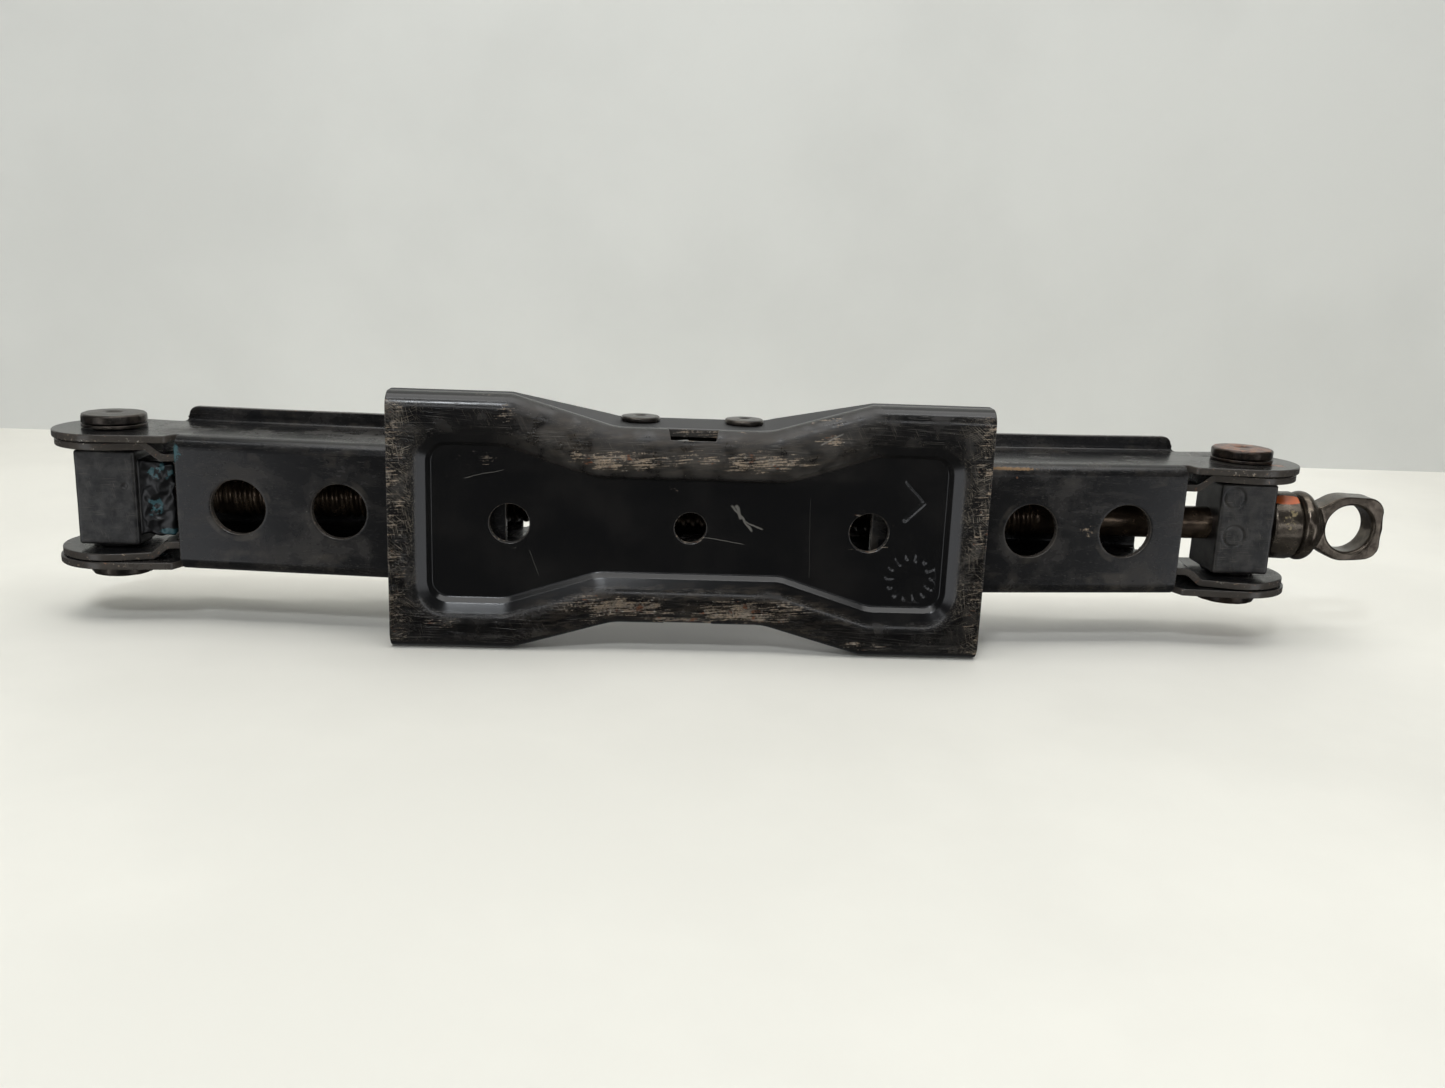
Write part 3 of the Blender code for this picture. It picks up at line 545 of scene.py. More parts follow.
@dataclasses.dataclass
class Arm:
    """The folded channel of one arm, in its own (s, y, n) frame from its gear pivot."""

    half: float
    gear_half: float
    lug_half: float
    lug: float
    edge: float
    web_end: float
    lip: tuple
    tooth: float
    web_holes: list

    def __post_init__(self):
        self.bend_start = self.half - ARM_BEND
        self.bend_end = self.bend_start + ARM_BEND * math.pi / 2
        self.flange_foot = ARM_BEND - WEB_OFFSET
        self.lip_start = self.flange_t(self.edge)
        self.lip_end = self.lip_start + LIP_RADIUS * math.pi / 2

    def flange_t(self, n):
        return self.bend_end + n - self.flange_foot

    def spread(self, s):
        """How far the side plates are set outwards at s, through smooth joggles."""
        gear = smooth_step(s, *GEAR_JOGGLE) * (self.gear_half - self.half)
        lug = smooth_step(s, *LUG_JOGGLE) * (self.lug_half - self.half)
        return gear + lug

    def fold(self, s, t):
        """Where a point of the flat blank lies on the folded arm, and how rubbed its bend is."""
        side = math.copysign(1, t)
        t = abs(t)
        in_web = WEB_START - 1e-4 <= s <= self.web_end + 1e-4
        in_lip = self.lip and self.lip[0] - LIP_FILLET <= s <= self.lip[1] + LIP_FILLET
        if in_web and t < self.bend_start:
            return Vector((s, side * t, -WEB_OFFSET)), 0.0
        if in_web and t < self.bend_end:
            angle = (t - self.bend_start) / ARM_BEND
            y = self.bend_start + ARM_BEND * math.sin(angle)
            rub = math.sin(2 * angle)
            return Vector((s, side * y, ARM_BEND * (1 - math.cos(angle)) - WEB_OFFSET)), rub
        y = self.half + self.spread(s)
        if in_lip and t > self.lip_start:
            angle = min((t - self.lip_start) / LIP_RADIUS, math.pi / 2)
            y += LIP_RADIUS * (1 - math.cos(angle)) + max(t - self.lip_end, 0)
            rub = math.sin(2 * angle)
            return Vector((s, side * y, self.edge + LIP_RADIUS * math.sin(angle))), rub
        return Vector((s, side * y, self.flange_foot + t - self.bend_end)), 0.0

    def side_path(self):
        """Outline of one side plate as (s, n), from the web's inner to its outer end."""
        foot = self.flange_foot
        corner = (WEB_START - 2.5, 1.5 - WEB_OFFSET)
        path = [(WEB_START - 1, foot), corner]
        touch = tangent_angle(corner, (0, 0), GEAR_EYE, -1)
        path += arc((0, 0), GEAR_EYE, touch, SECTOR_START, 16)
        path += sector_outline(self.tooth)
        last = self.tooth - (SECTOR_TEETH - 0.5) * TOOTH_PITCH
        path += arc((0, 0), ROOT_RADIUS, last, SECTOR_END, 9)
        path += [(s, self.edge - below) for s, below in NECK]
        if self.lip:
            path += self.lip_path()
        lug = (ARM_LENGTH, 0)
        near = (self.web_end + 2.5, -0.4 - WEB_OFFSET)
        shoulder = (ARM_LENGTH - SHOULDER, self.edge)
        top = tangent_angle(shoulder, lug, self.lug, -1)
        bottom = tangent_angle(near, lug, self.lug, 1)
        path += [shoulder, *arc(lug, self.lug, top, bottom, 48)]
        path += [near, (self.web_end + 1, foot)]
        return path

    def lip_path(self):
        """The stiffening lip's edge, with rounded and filleted ends, as (s, n) in the blank."""
        start, end = self.lip
        rise = self.lip_end + LIP_FLAT - self.lip_start
        high = self.edge + rise - LIP_CORNER
        low = self.edge + LIP_FILLET
        path = arc((start - LIP_FILLET, low), LIP_FILLET, -math.pi / 2, 0, 7)
        path += arc((start + LIP_CORNER, high), LIP_CORNER, math.pi, math.pi / 2, 9)
        path += arc((end - LIP_CORNER, high), LIP_CORNER, math.pi / 2, 0, 9)
        return path + arc((end + LIP_FILLET, low), LIP_FILLET, math.pi, math.pi * 1.5, 7)

    def mesh(self, name, hand, lift, origin_s):
        """The arm as a solid; hand and lift mirror it, origin_s is its joint axis."""
        half = [(s, self.flange_t(n)) for s, n in self.side_path()]
        half = [(WEB_START, self.bend_end), *half, (self.web_end, self.bend_end)]
        outline = mirrored(half)
        holes = [circle((s, 0), LIGHTENING_RADIUS, HOLE_SIDES) for s in self.web_holes]
        for side in (-1, 1):
            axle = side * self.flange_t(0)
            holes.append(circle((0, axle), PIVOT_PIN + GAP, PIN_HOLE_SIDES))
            holes.append(circle((ARM_LENGTH, axle), TRUNNION_PIN + GAP, TRUNNION_HOLE_SIDES))
        sheet = Sheet()

        def fold(s, t, wear):
            folded, rub = self.fold(s, t)
            folded.y += dent(Vector((s, t, hand * 40)), 45, 0.16)
            where = ((folded.x - origin_s) * hand, folded.y, folded.z * lift)
            return sheet.vert(where, max(wear, 0.45 * rub))

        sheet.add_blank(blank(outline, holes, self.fold_lines()), fold, hand * lift < 0)
        return sheet.solid_mesh(name, ARM_SHEET)

    def fold_lines(self):
        """Straight lines in the blank that keep each bend and joggle clean."""
        lines = []
        for side in (-1, 1):
            for i in range(9):
                t = side * (self.bend_start + ARM_BEND * math.pi / 2 * i / 8)
                lines.append(((WEB_START, t), (self.web_end, t)))
            if self.lip:
                for i in range(7):
                    t = side * (self.lip_start + LIP_RADIUS * math.pi / 2 * i / 6)
                    lines.append(((self.lip[0] - LIP_FILLET, t), (self.lip[1] + LIP_FILLET, t)))
            low = side * self.flange_t(-LOWER_LUG)
            high = side * self.flange_t(LOWER_LUG)
            joggles = [GEAR_JOGGLE, LUG_JOGGLE] if self.lug_half != self.half else [GEAR_JOGGLE]
            for start, end in joggles:
                stations = [start + (end - start) * i / 10 for i in range(11)]
                lines += [((s, low), (s, high)) for s in stations]
        return lines


def web_station(x):
    """Distance along an arm of a point on its web at x from the jack's middle."""
    lean = WEB_OFFSET * math.sin(FOLD_ANGLE)
    return (x - PIVOT_HALF - lean) / math.cos(FOLD_ANGLE)


def first_tooth(hand):
    """Angle of the lowest tooth; left and right sectors differ by half a pitch."""
    return math.pi - FOLD_ANGLE + hand * TOOTH_PITCH / 4


def lower_arm(side, hand, mat):
    arm = Arm(
        half=LOWER_HALF,
        gear_half=LOWER_GEAR_HALF,
        lug_half=LOWER_HALF,
        lug=LOWER_LUG,
        edge=LOWER_EDGE,
        web_end=LOWER_WEB_END,
        lip=(LIP_START, LIP_END),
        tooth=first_tooth(hand),
        web_holes=[web_station(x) for x in LIGHTENING_X],
    )
    mesh = arm.mesh(f"lower_arm_{side}", hand, 1, 0)
    place(mesh, (hand * PIVOT_HALF, 0, PIVOT_HEIGHT), -hand * FOLD_ANGLE)
    piece(f"lower_arm_{side}_sheet", mesh, mat, f"lower_arm_{side}")


def upper_arm(side, hand, mat):
    arm = Arm(
        half=UPPER_HALF,
        gear_half=UPPER_HALF,
        lug_half=UPPER_LUG_HALF,
        lug=UPPER_LUG,
        edge=UPPER_EDGE,
        web_end=UPPER_WEB_ENDS[side],
        lip=None,
        tooth=first_tooth(hand),
        web_holes=[],
    )
    mesh = arm.mesh(f"upper_arm_{side}", hand, -1, ARM_LENGTH)
    place(mesh, (hand * TRUNNION_HALF, 0, TRUNNION_HEIGHT), hand * FOLD_ANGLE)
    piece(f"upper_arm_{side}_sheet", mesh, mat, f"upper_arm_{side}")


# ---------------------------------------------------------------- base plate


ARC_STEPS = 10
CORNER_STEPS = 9
BEND_STEPS = 12
WINDOW_STEP = 3
PROFILE_STEPS = 5
PANEL_MARGIN = 1.2

# Plain stamped marks in the panel: a chevron and a dial of ticks.
MARK_DEPTH = 0.38
MARK_WIDTH = 0.55
CHEVRON = ((65.2, -16.2), (71.2, -10.2), (65.2, -4.2))
DIAL_CENTRE = (68.4, 13.8)
DIAL_TICKS = 14
DIAL_LONG = (5.6, 7.6)
DIAL_SHORT = (6.3, 7.2)
DIAL_RING = (6, 2.2)
MARK_GRID = 0.5
MARK_NEAR = 1.2


def long_edge(out, end_x, opening=WINDOW_HALF):
    """The +Y long edge at a distance outside the panel's edge, as (x, y) from -X to +X."""
    waist_half = PANEL_WAIST_HALF + out
    end_half = PANEL_END_HALF + out
    waist = PANEL_WAIST - 0.32 * out
    knee = PANEL_KNEE - 0.12 * out
    points = [(opening, waist_half), (waist, waist_half), (knee, end_half), (end_x, end_half)]
    chain = rounded(points, (12 + out / 2, 14 - out / 2), ARC_STEPS)
    return [(-x, y) for x, y in reversed(chain)] + chain


def closed_ring(out):
    """A ring round the panel: the +Y edge, the +X end, the -Y edge and the -X end."""
    edge = long_edge(out, PANEL_HALF - PANEL_CORNER)
    end_x, half_end = edge[-1]
    corner = PANEL_CORNER + out
    right = arc((end_x, half_end - corner), corner, math.pi / 2, 0, CORNER_STEPS)[1:]
    ring = edge + mirrored(right)
    return ring + [(-x, -y) for x, y in ring]


def crown_ring(end_x, end_points):
    """The flat crown's outer ring, which runs straight out to the plate's two ends."""
    edge = long_edge(CROWN_OUT, end_x)
    half_end = edge[-1][1]
    share = [(i + 1) / (end_points + 1) for i in range(end_points)]
    ring = edge + [(end_x, half_end * (1 - 2 * part)) for part in share]
    return ring + [(-x, -y) for x, y in ring]


def flange_height(x):
    share = smooth_step(abs(x), *FLANGE_SLOPE)
    return END_FLANGE + (WAIST_FLANGE - END_FLANGE) * share


def stroke_distance(x, y, a, b):
    run = Vector((b[0] - a[0], b[1] - a[1]))
    to = Vector((x - a[0], y - a[1]))
    share = min(max(to.dot(run) / run.length_squared, 0), 1)
    return (to - run * share).length


def dial_distance(x, y):
    """Distance from the dial's nearest tick; every second tick is shorter."""
    dx = x - DIAL_CENTRE[0]
    dy = y - DIAL_CENTRE[1]
    radius = math.hypot(dx, dy)
    turn = math.atan2(dy, dx) / (2 * math.pi) * DIAL_TICKS
    index = round(turn)
    across = abs(turn - index) * 2 * math.pi / DIAL_TICKS * radius
    low, high = DIAL_LONG if index % 2 else DIAL_SHORT
    along = max(low - radius, radius - high, 0)
    return math.hypot(across, along)


def mark_depth(x, y):
    """How deep the stamped marks are at a point of the panel."""
    strokes = [stroke_distance(x, y, a, b) for a, b in zip(CHEVRON, CHEVRON[1:])]
    near = min(strokes + [dial_distance(x, y)])
    return MARK_DEPTH * (1 - smooth_step(near, MARK_WIDTH * 0.45, MARK_WIDTH * 1.25))


def mark_points():
    """A fine grid close to the marks, so that they are real dents."""
    margin = (6.5, 2.0)
    (start, low), (tip, _), _ = CHEVRON
    xs = np.arange(start - margin[0], tip + margin[0], MARK_GRID)
    ys = np.arange(low - margin[1], DIAL_CENTRE[1] + DIAL_LONG[1] + 1.6, MARK_GRID)
    middle, half = DIAL_RING

    def distance(x, y):
        ring = abs(math.dist((x, y), DIAL_CENTRE) - middle) - half
        return min(ring, *(stroke_distance(x, y, a, b) for a, b in zip(CHEVRON, CHEVRON[1:])))

    return [(x, y) for x in xs for y in ys if distance(x, y) < MARK_NEAR]


def base_profile():
    """(out, rise) points from the panel over the step and the slope to the flat crown."""
    points = [(-PANEL_MARGIN, PANEL_RISE), (0, PANEL_RISE), (STEP_OUT, STEP_RISE),
              (SLOPE_OUT, 0), (CROWN_OUT - 1, 0)]
    return rounded(points, (0.9, 1.6, 6.5), PROFILE_STEPS)[:-1]


def base_ring(sheet, ring, inner, z, inner_z, wear):
    return [sheet.vert((x, y, z), wear, (ix, iy, inner_z))
            for (x, y), (ix, iy) in zip(ring, inner)]


def base_panel(sheet, ring, row):
    """The sunk panel with its holes and stamped marks, joined to the first ring."""
    holes = [circle((x, 0), radius, HOLE_SIDES) for x, radius in PANEL_HOLES]
    known = {(round(v.co.x, 3), round(v.co.y, 3)): v for v in row}

    def sink(x, y, wear):
        vert = known.get((round(x, 3), round(y, 3)))
        if vert is None:
            z = PANEL_RISE + mark_depth(x, y) + dent(Vector((x, y, 7)), 30, 0.12)
            vert = sheet.vert((x, y, z), wear, (x, y, PANEL_RISE + BASE_SHEET))
        return vert

    sheet.add_blank(blank(ring, holes, [], extra=mark_points(), joined=True), sink)


def base_flange(sheet, chain, inner, side, row):
    """The upright side of the base, from the bend's end to its free edge."""
    lengths = [0.0]
    for a, b in zip(chain, chain[1:]):
        lengths.append(lengths[-1] + math.dist(a, b))
    middle = lengths[-1] / 2
    tops = [flange_height(p[0]) - RIM for p in chain]
    outline = [(length, BASE_BEND) for length in lengths]
    outline += list(zip(reversed(lengths), reversed(tops)))
    loops = [circle((middle + x, PIVOT_HEIGHT), PIVOT_PIN + GAP, PIN_HOLE_SIDES)
             for x in (-PIVOT_HALF, PIVOT_HALF)]
    lines = [((ln, BASE_BEND), (ln, top)) for ln, top in list(zip(lengths, tops))[1:-1]]

    def raise_side(length, z, wear):
        i = max(k for k in range(len(lengths) - 1) if lengths[k] <= length + 1e-5)
        share = (length - lengths[i]) / (lengths[i + 1] - lengths[i])
        if z < BASE_BEND + 1e-4 and min(share, 1 - share) < 1e-3:
            return row[i if share < 0.5 else i + 1]
        (x, y), (ix, iy) = (
            (c[i][0] + (c[i + 1][0] - c[i][0]) * share, c[i][1] + (c[i + 1][1] - c[i][1]) * share)
            for c in (chain, inner)
        )
        wear = wear if z > BASE_BEND + WEAR_REACH else 0.0
        return sheet.vert((side * x, side * y, z), wear, (side * ix, side * iy, z))

    sheet.add_blank(blank(outline, loops, lines, joined=True), raise_side)


def base_plate(mat):
    sheet = Sheet()
    end_x = BASE_HALF - RIM
    profile = base_profile()
    rows = []
    for i, (out, z) in enumerate(profile):
        ring = closed_ring(out)
        rows.append(base_ring(sheet, ring, ring, z, z + BASE_SHEET, 0.0))
    base_panel(sheet, closed_ring(profile[0][0]), rows[0])
    count = len(long_edge(0, BASE_HALF))
    ends = len(rows[0]) // 2 - count
    crown = crown_ring(end_x, ends)
    rows.append(base_ring(sheet, crown, crown, 0, BASE_SHEET, 0.25))
    for lower, upper in zip(rows, rows[1:]):
        join_rows(sheet.bm, lower, upper)
    window = count // 2 - 1
    for side, row in ((1, rows[-1][:count]), (-1, rows[-1][count + ends:2 * count + ends])):
        for i in range(1, BEND_STEPS + 1):
            angle = math.pi / 2 * i / BEND_STEPS
            opening = WINDOW_HALF + RIM + WINDOW_SLANT * i / BEND_STEPS
            out = CROWN_OUT + BASE_BEND * math.sin(angle)
            chain = long_edge(out, end_x, opening)
            inner = long_edge(out - BASE_SHEET * math.sin(angle), end_x, opening)
            z = BASE_BEND * (1 - math.cos(angle))
            inner_z = z + BASE_SHEET * math.cos(angle)
            wear = 0.5 * math.sin(2 * angle)
            upper = base_ring(sheet, [(side * x, side * y) for x, y in chain],
                              [(side * x, side * y) for x, y in inner], z, inner_z, wear)
            join_rows(sheet.bm, row, upper, False, () if i <= WINDOW_STEP else (window,))
            row = upper
        base_flange(sheet, chain, inner, side, row)
    mesh = place(sheet.solid_mesh("base_plate", BASE_SHEET), (0, 0, 0))
    piece("base_plate_sheet", mesh, mat, "base_plate")


# ---------------------------------------------------------------- saddle


def ridge(x):
    """Height of the two cross ridges that hold a sill seam between them."""
    shares = [min(abs(x - centre) / RIDGE_HALF, 1) for centre in (-RIDGE_X, RIDGE_X)]
    return RIDGE_HEIGHT * sum(0.5 + 0.5 * math.cos(math.pi * share) for share in shares)


def saddle_fold(s, t):
    """Where a point of the saddle's flat blank lies, and how rubbed it is."""
    side = math.copysign(1, t)
    t = abs(t)
    top = SADDLE_TOP - SADDLE_PIVOT_HEIGHT
    if t < SADDLE_BEND_START:
        return Vector((s, side * t, top + ridge(s))), 0.5 * ridge(s) / RIDGE_HEIGHT
    if t < SADDLE_BEND_END:
        angle = (t - SADDLE_BEND_START) / SADDLE_BEND
        y = SADDLE_BEND_START + SADDLE_BEND * math.sin(angle)
        z = top + ridge(s) - SADDLE_BEND * (1 - math.cos(angle))
        return Vector((s, side * y, z)), 0.5
    drop = t - SADDLE_BEND_END
    fade = 1 - smooth_step(drop, 0, RIDGE_FADE)
    return Vector((s, side * SADDLE_HALF, top - SADDLE_BEND - drop + ridge(s) * fade)), 0.0


def saddle_outline():
    """One half of the blank: the top's long edge, the skirt and the ears round the pins."""
    length = SADDLE_LENGTH_HALF
    skirt = SADDLE_BEND_END + SADDLE_SKIRT
    half = [(length, SADDLE_BEND_END), (length, skirt)]
    half += arc((PIVOT_HALF, SADDLE_AXLE), EAR_RADIUS, 0, math.pi / 2, 16)
    half += arc((-PIVOT_HALF, SADDLE_AXLE), EAR_RADIUS, math.pi / 2, math.pi, 16)
    return half + [(-length, skirt), (-length, SADDLE_BEND_END)]


def saddle_lines():
    """Folds along the two bends and across the two ridges."""
    length = SADDLE_LENGTH_HALF
    reach = SADDLE_BEND_END + RIDGE_FADE
    folds = [SADDLE_BEND_START + SADDLE_BEND * math.pi / 2 * i / 8 for i in range(9)]
    folds += [SADDLE_BEND_END + RIDGE_FADE * i / 5 for i in range(1, 6)]
    lines = [((-length, side * t), (length, side * t)) for side in (-1, 1) for t in folds]
    for hand in (-1, 1):
        for i in range(RIDGE_STEPS + 1):
            s = hand * (RIDGE_X - RIDGE_HALF + 2 * RIDGE_HALF * i / RIDGE_STEPS)
            lines.append(((s, -reach), (s, reach)))
    return lines


def saddle(mat):
    outline = mirrored(saddle_outline())
    centres = [(hand * PIVOT_HALF, side * SADDLE_AXLE) for side in (-1, 1) for hand in (-1, 1)]
    holes = [circle(centre, PIVOT_PIN + GAP, PIN_HOLE_SIDES) for centre in centres]
    sheet = Sheet()

    def fold(s, t, wear):
        folded, rub = saddle_fold(s, t)
        return sheet.vert(folded, max(wear, rub))

    sheet.add_blank(blank(outline, holes, saddle_lines()), fold, True)
    mesh = place(sheet.solid_mesh("saddle", BASE_SHEET), (0, 0, SADDLE_PIVOT_HEIGHT))
    piece("saddle_sheet", mesh, mat, "saddle")


# ---------------------------------------------------------------- turned parts


ROUND = 72
HEAD_CROWN = 0.25
HEAD_DIMPLE = 0.35


def turned(profile, axis, rough=0.0):
    """A turned bmesh about axis, from (distance, radius) points in order along it."""
    turn = Vector((0, 0, 1)).rotation_difference(Vector(axis)).to_matrix().to_4x4()
    bm = bmesh.new()
    rows = []
    for distance, radius in profile:
        row = []
        for x, y in circle((0, 0), max(radius, 0), ROUND):
            swell = 1 + rough * noise.noise(Vector((x, y, distance)) / 2.2) / max(radius, 1)
            row.append(bm.verts.new((x * swell, y * swell, distance)))
        rows.append(row)
    for lower, upper in zip(rows, rows[1:]):
        join_rows(bm, lower, upper)
    if profile[0] != profile[-1]:
        bm.faces.new(reversed(rows[0]))
        bm.faces.new(rows[-1])
    bmesh.ops.remove_doubles(bm, verts=bm.verts, dist=1e-4)
    bmesh.ops.dissolve_degenerate(bm, edges=bm.edges, dist=1e-4)
    bm.transform(turn)
    return bm


def turned_piece(name, profile, axis, location, mat, node, rough=0.0, crisp=40):
    mesh = finish_mesh(name, turned(profile, axis, rough=rough), crisp)
    piece(name, place(mesh, location), mat, node)


def washer_profile(start, end, inner, outer):
    corners = [(start, (inner + outer) / 2), (start, outer), (end, outer), (end, inner),
               (start, inner), (start, (inner + outer) / 2)]
    return rounded(corners, (0.25, 0.25, 0.15, 0.15), 4)


def head_end(tip, radius):
    """The outer face of a headed pin: rounded rim, slight crown and a pressed dimple."""
    dimple = radius * 0.3
    return [(tip - HEAD_CROWN / 2, radius * 0.75), (tip, radius * 0.5), (tip - 0.02, dimple),
            (tip - HEAD_DIMPLE, dimple - 0.5), (tip - HEAD_DIMPLE, 0)]


def pivot_pin(name, x, z, seat, mat):
    """A long rivet across the jack with a head outside each side plate."""
    foot = seat + GAP
    tip = foot + PIVOT_HEAD_LENGTH
    corners = [(foot, PIVOT_PIN), (foot, PIVOT_HEAD), (tip - 0.15, PIVOT_HEAD),
               (tip - HEAD_CROWN / 2, PIVOT_HEAD * 0.75)]
    half = rounded(corners, (0.2, 0.8), 5)[:-1] + head_end(tip, PIVOT_HEAD)
    profile = [(-d, r) for d, r in reversed(half)] + half
    turned_piece(f"{name}_rivet", profile, (0, 1, 0), (x, 0, z), mat, name, rough=0.25)


def trunnion_pin(name, x, side, mat):
    """A headed stub pressed into one side of a trunnion block."""
    seat = LOWER_HALF + WASHER_THICKNESS + 2 * GAP
    tip = seat + TRUNNION_HEAD_LENGTH
    corners = [(seat, TRUNNION_PIN), (seat, TRUNNION_HEAD), (tip - 0.15, TRUNNION_HEAD),
               (tip - HEAD_CROWN / 2, TRUNNION_HEAD * 0.75)]
    profile = [(STUB_TIP, 0), (STUB_TIP, TRUNNION_PIN)]
    profile += rounded(corners, (0.4, 0.9), 6)[:-1] + head_end(tip, TRUNNION_HEAD)
    where = (x, 0, TRUNNION_HEIGHT)
    turned_piece(f"{name}_stub", profile, (0, side, 0), where, mat, name, rough=0.3)


def trunnion_washer(name, x, side, mat):
    start = LOWER_HALF + GAP
    profile = washer_profile(start, start + WASHER_THICKNESS, TRUNNION_PIN + GAP, WASHER_RADIUS)
    where = (x, 0, TRUNNION_HEIGHT)
    turned_piece(f"{name}_ring", profile, (0, side, 0), where, mat, name, rough=0.1)


# ---------------------------------------------------------------- forged parts


def solid(mesh, steps, voxel, smoothing):
    """Join and cut meshes in turn, then even the result out as a forging with soft edges."""
    obj = linked("forging", mesh)
    tools = []
    for operation, tool_mesh, location in steps:
        tool = linked("forging_tool", tool_mesh)
        tool.location = Vector(location) * MM
        modify(obj, "BOOLEAN", operation=operation, object=tool, solver="EXACT")
        tools.append(tool)
    modify(obj, "REMESH", mode="VOXEL", voxel_size=voxel * MM)
    modify(obj, "SMOOTH", factor=0.5, iterations=smoothing)
    bpy.context.view_layer.update()
    evaluated = obj.evaluated_get(bpy.context.evaluated_depsgraph_get())
    result = bpy.data.meshes.new_from_object(evaluated)
    for used in [obj, *tools]:
        bpy.data.objects.remove(used)
    result.shade_smooth()
    return result


def shift_points(mesh, change):
    """Move a mesh's vertices by a function of their places in millimetres."""
    count = len(mesh.vertices)
    flat = np.empty(count * 3, dtype=np.float32)
    mesh.vertices.foreach_get("co", flat)
    points = flat.reshape(-1, 3).astype(float) / MM
    mesh.vertices.foreach_set("co", (change(points) * MM).astype(np.float32).ravel())
    mesh.update()


def pocket(points, centre, radius, depth, axis):
    """Press a round mark into the faces that look along -axis near a centre."""
    others = [i for i in range(3) if i != axis]
    away = np.linalg.norm(points[:, others] - np.array(centre)[others], axis=1)
    near = np.abs(points[:, axis] - centre[axis]) < 0.6
    return depth * np.clip((radius - away) / 0.5, 0, 1) * near


def lumpy(points, size, height):
    """Unevenness of a forged or cast surface, as an offset for each point."""
    offsets = np.array([noise.noise_vector(Vector(p) / size) for p in points])
    return offsets * height


def box(size):
    bm = bmesh.new()
    bmesh.ops.create_cube(bm, size=1, matrix=Matrix.Diagonal((*size, 1)))
    bmesh.ops.bevel(bm, geom=bm.edges, offset=0.5, segments=1, affect="EDGES")
    return finish_mesh("block", bm)


def trunnion_block(name, x, bore, marks, mat, sleeve=None):
    """A block between the lugs: bosses, bores for the two stubs and the screw, marks."""
    reach = BLOCK[1] / 2 + BOSS_HEIGHT
    boss = finish_mesh("boss", turned([(-reach, BOSS_RADIUS), (reach, BOSS_RADIUS)], (0, 1, 0)))
    steps = [("UNION", boss, (0, 0, 0))]
    if sleeve:
        size = (sleeve[0] + BLOCK_HALF, sleeve[1], sleeve[2])
        steps.append(("UNION", box(size), (size[0] / 2, 0, 0)))
    for side in (-1, 1):
        stub = [(STUB_TIP - GAP, TRUNNION_PIN + GAP), (reach + 1, TRUNNION_PIN + GAP)]
        steps.append(("DIFFERENCE", finish_mesh("bore", turned(stub, (0, side, 0))), (0, 0, 0)))
    steps.append(("DIFFERENCE", finish_mesh("bore", turned(bore, (1, 0, 0))), (0, 0, 0)))
    mesh = solid(box(BLOCK), steps, FORGE_VOXEL, 5)

    def press(points):
        moved = points + lumpy(points, 5, 0.06)
        beyond = np.clip((points[:, 0] - BLOCK_HALF - 0.4) / 1.5, 0, 1) * GREASE_LUMP
        moved += lumpy(points + 40, 2.8, 1.0) * beyond[:, None]
        for dx, y, radius, inner in marks:
            centre = (dx, y, -BLOCK[2] / 2)
            moved[:, 2] += pocket(points, centre, radius, 0.28, 2)
            if inner:
                moved[:, 2] -= pocket(points, centre, inner, 0.28, 2)
        return moved

    shift_points(mesh, press)
    piece(f"{name}_forging", place(mesh, (x, 0, TRUNNION_HEIGHT)), mat, name, weighted=False)


def plain_bore(radius):
    return [(-BLOCK_HALF - 1, radius), (BLOCK_HALF + NUT_SLEEVE[0] + 1, radius)]


def counterbore(radius, wide, depth):
    """A screw bore with a wider seat for the thrust washer at its +X end."""
    floor = BLOCK_HALF - depth
    return [(-BLOCK_HALF - 1, radius), (floor, radius), (floor, wide), (BLOCK_HALF + 1, wide)]


def thread_form(turns):
    """Height of the thread's form, 0 to 1, at a number of turns."""
    across = abs(turns - math.floor(turns) - 0.5) * 2
    return smooth_step(across, 0.26, 0.7)


def drive_screw(mat):
    """The screw: a cut thread whose rows follow its helix, then a plain shank."""
    start = -TRUNNION_HALF - BLOCK_HALF
    shank_tip = BEAD_END - 1.5
    step = THREAD_PITCH / THREAD_ROWS
    count = math.ceil((THREAD_END - start + THREAD_PITCH) / step)
    bm = bmesh.new()
    rows = []
    for r in range(count + 1):
        row = []
        for side in range(THREAD_SIDES + 1):
            turn = side / THREAD_SIDES
            x = start + step * r + THREAD_PITCH * (turn - 1)
            held = min(max(x, start), THREAD_END)
            form = thread_form((x - start) / THREAD_PITCH - turn)
            runout = smooth_step(held, THREAD_END - THREAD_RUNOUT, THREAD_END)
            fade = min(smooth_step(held, start, start + 2), 1 - runout)
            crest = SHANK_RADIUS + (THREAD_RADIUS - SHANK_RADIUS) * fade
            lead = 1.0 * (1 - smooth_step(held, start, start + 1.2))
            radius = crest - THREAD_DEPTH * fade * (1 - form) - lead
            angle = 2 * math.pi * turn
            row.append(bm.verts.new((held, radius * math.cos(angle), radius * math.sin(angle))))
        rows.append(row)
    for lower, upper in zip(rows, rows[1:]):
        join_rows(bm, lower, upper, closed=False)
    bmesh.ops.remove_doubles(bm, verts=bm.verts, dist=2e-3)
    bmesh.ops.dissolve_degenerate(bm, edges=bm.edges, dist=1e-4)
    ends = [edge for edge in bm.edges if edge.is_boundary]
    last = [edge for edge in ends if edge.verts[0].co.x > 0]
    ring = bmesh.ops.extrude_edge_only(bm, edges=last)["geom"]
    moved = [item for item in ring if isinstance(item, bmesh.types.BMVert)]
    for vert in moved:
        vert.co.x = shank_tip
    bmesh.ops.holes_fill(bm, edges=[edge for edge in bm.edges if edge.is_boundary], sides=0)
    mesh = place(finish_mesh("drive_screw", bm, 50), (0, 0, TRUNNION_HEIGHT))
    piece("drive_screw_thread", mesh, mat, "drive_screw")


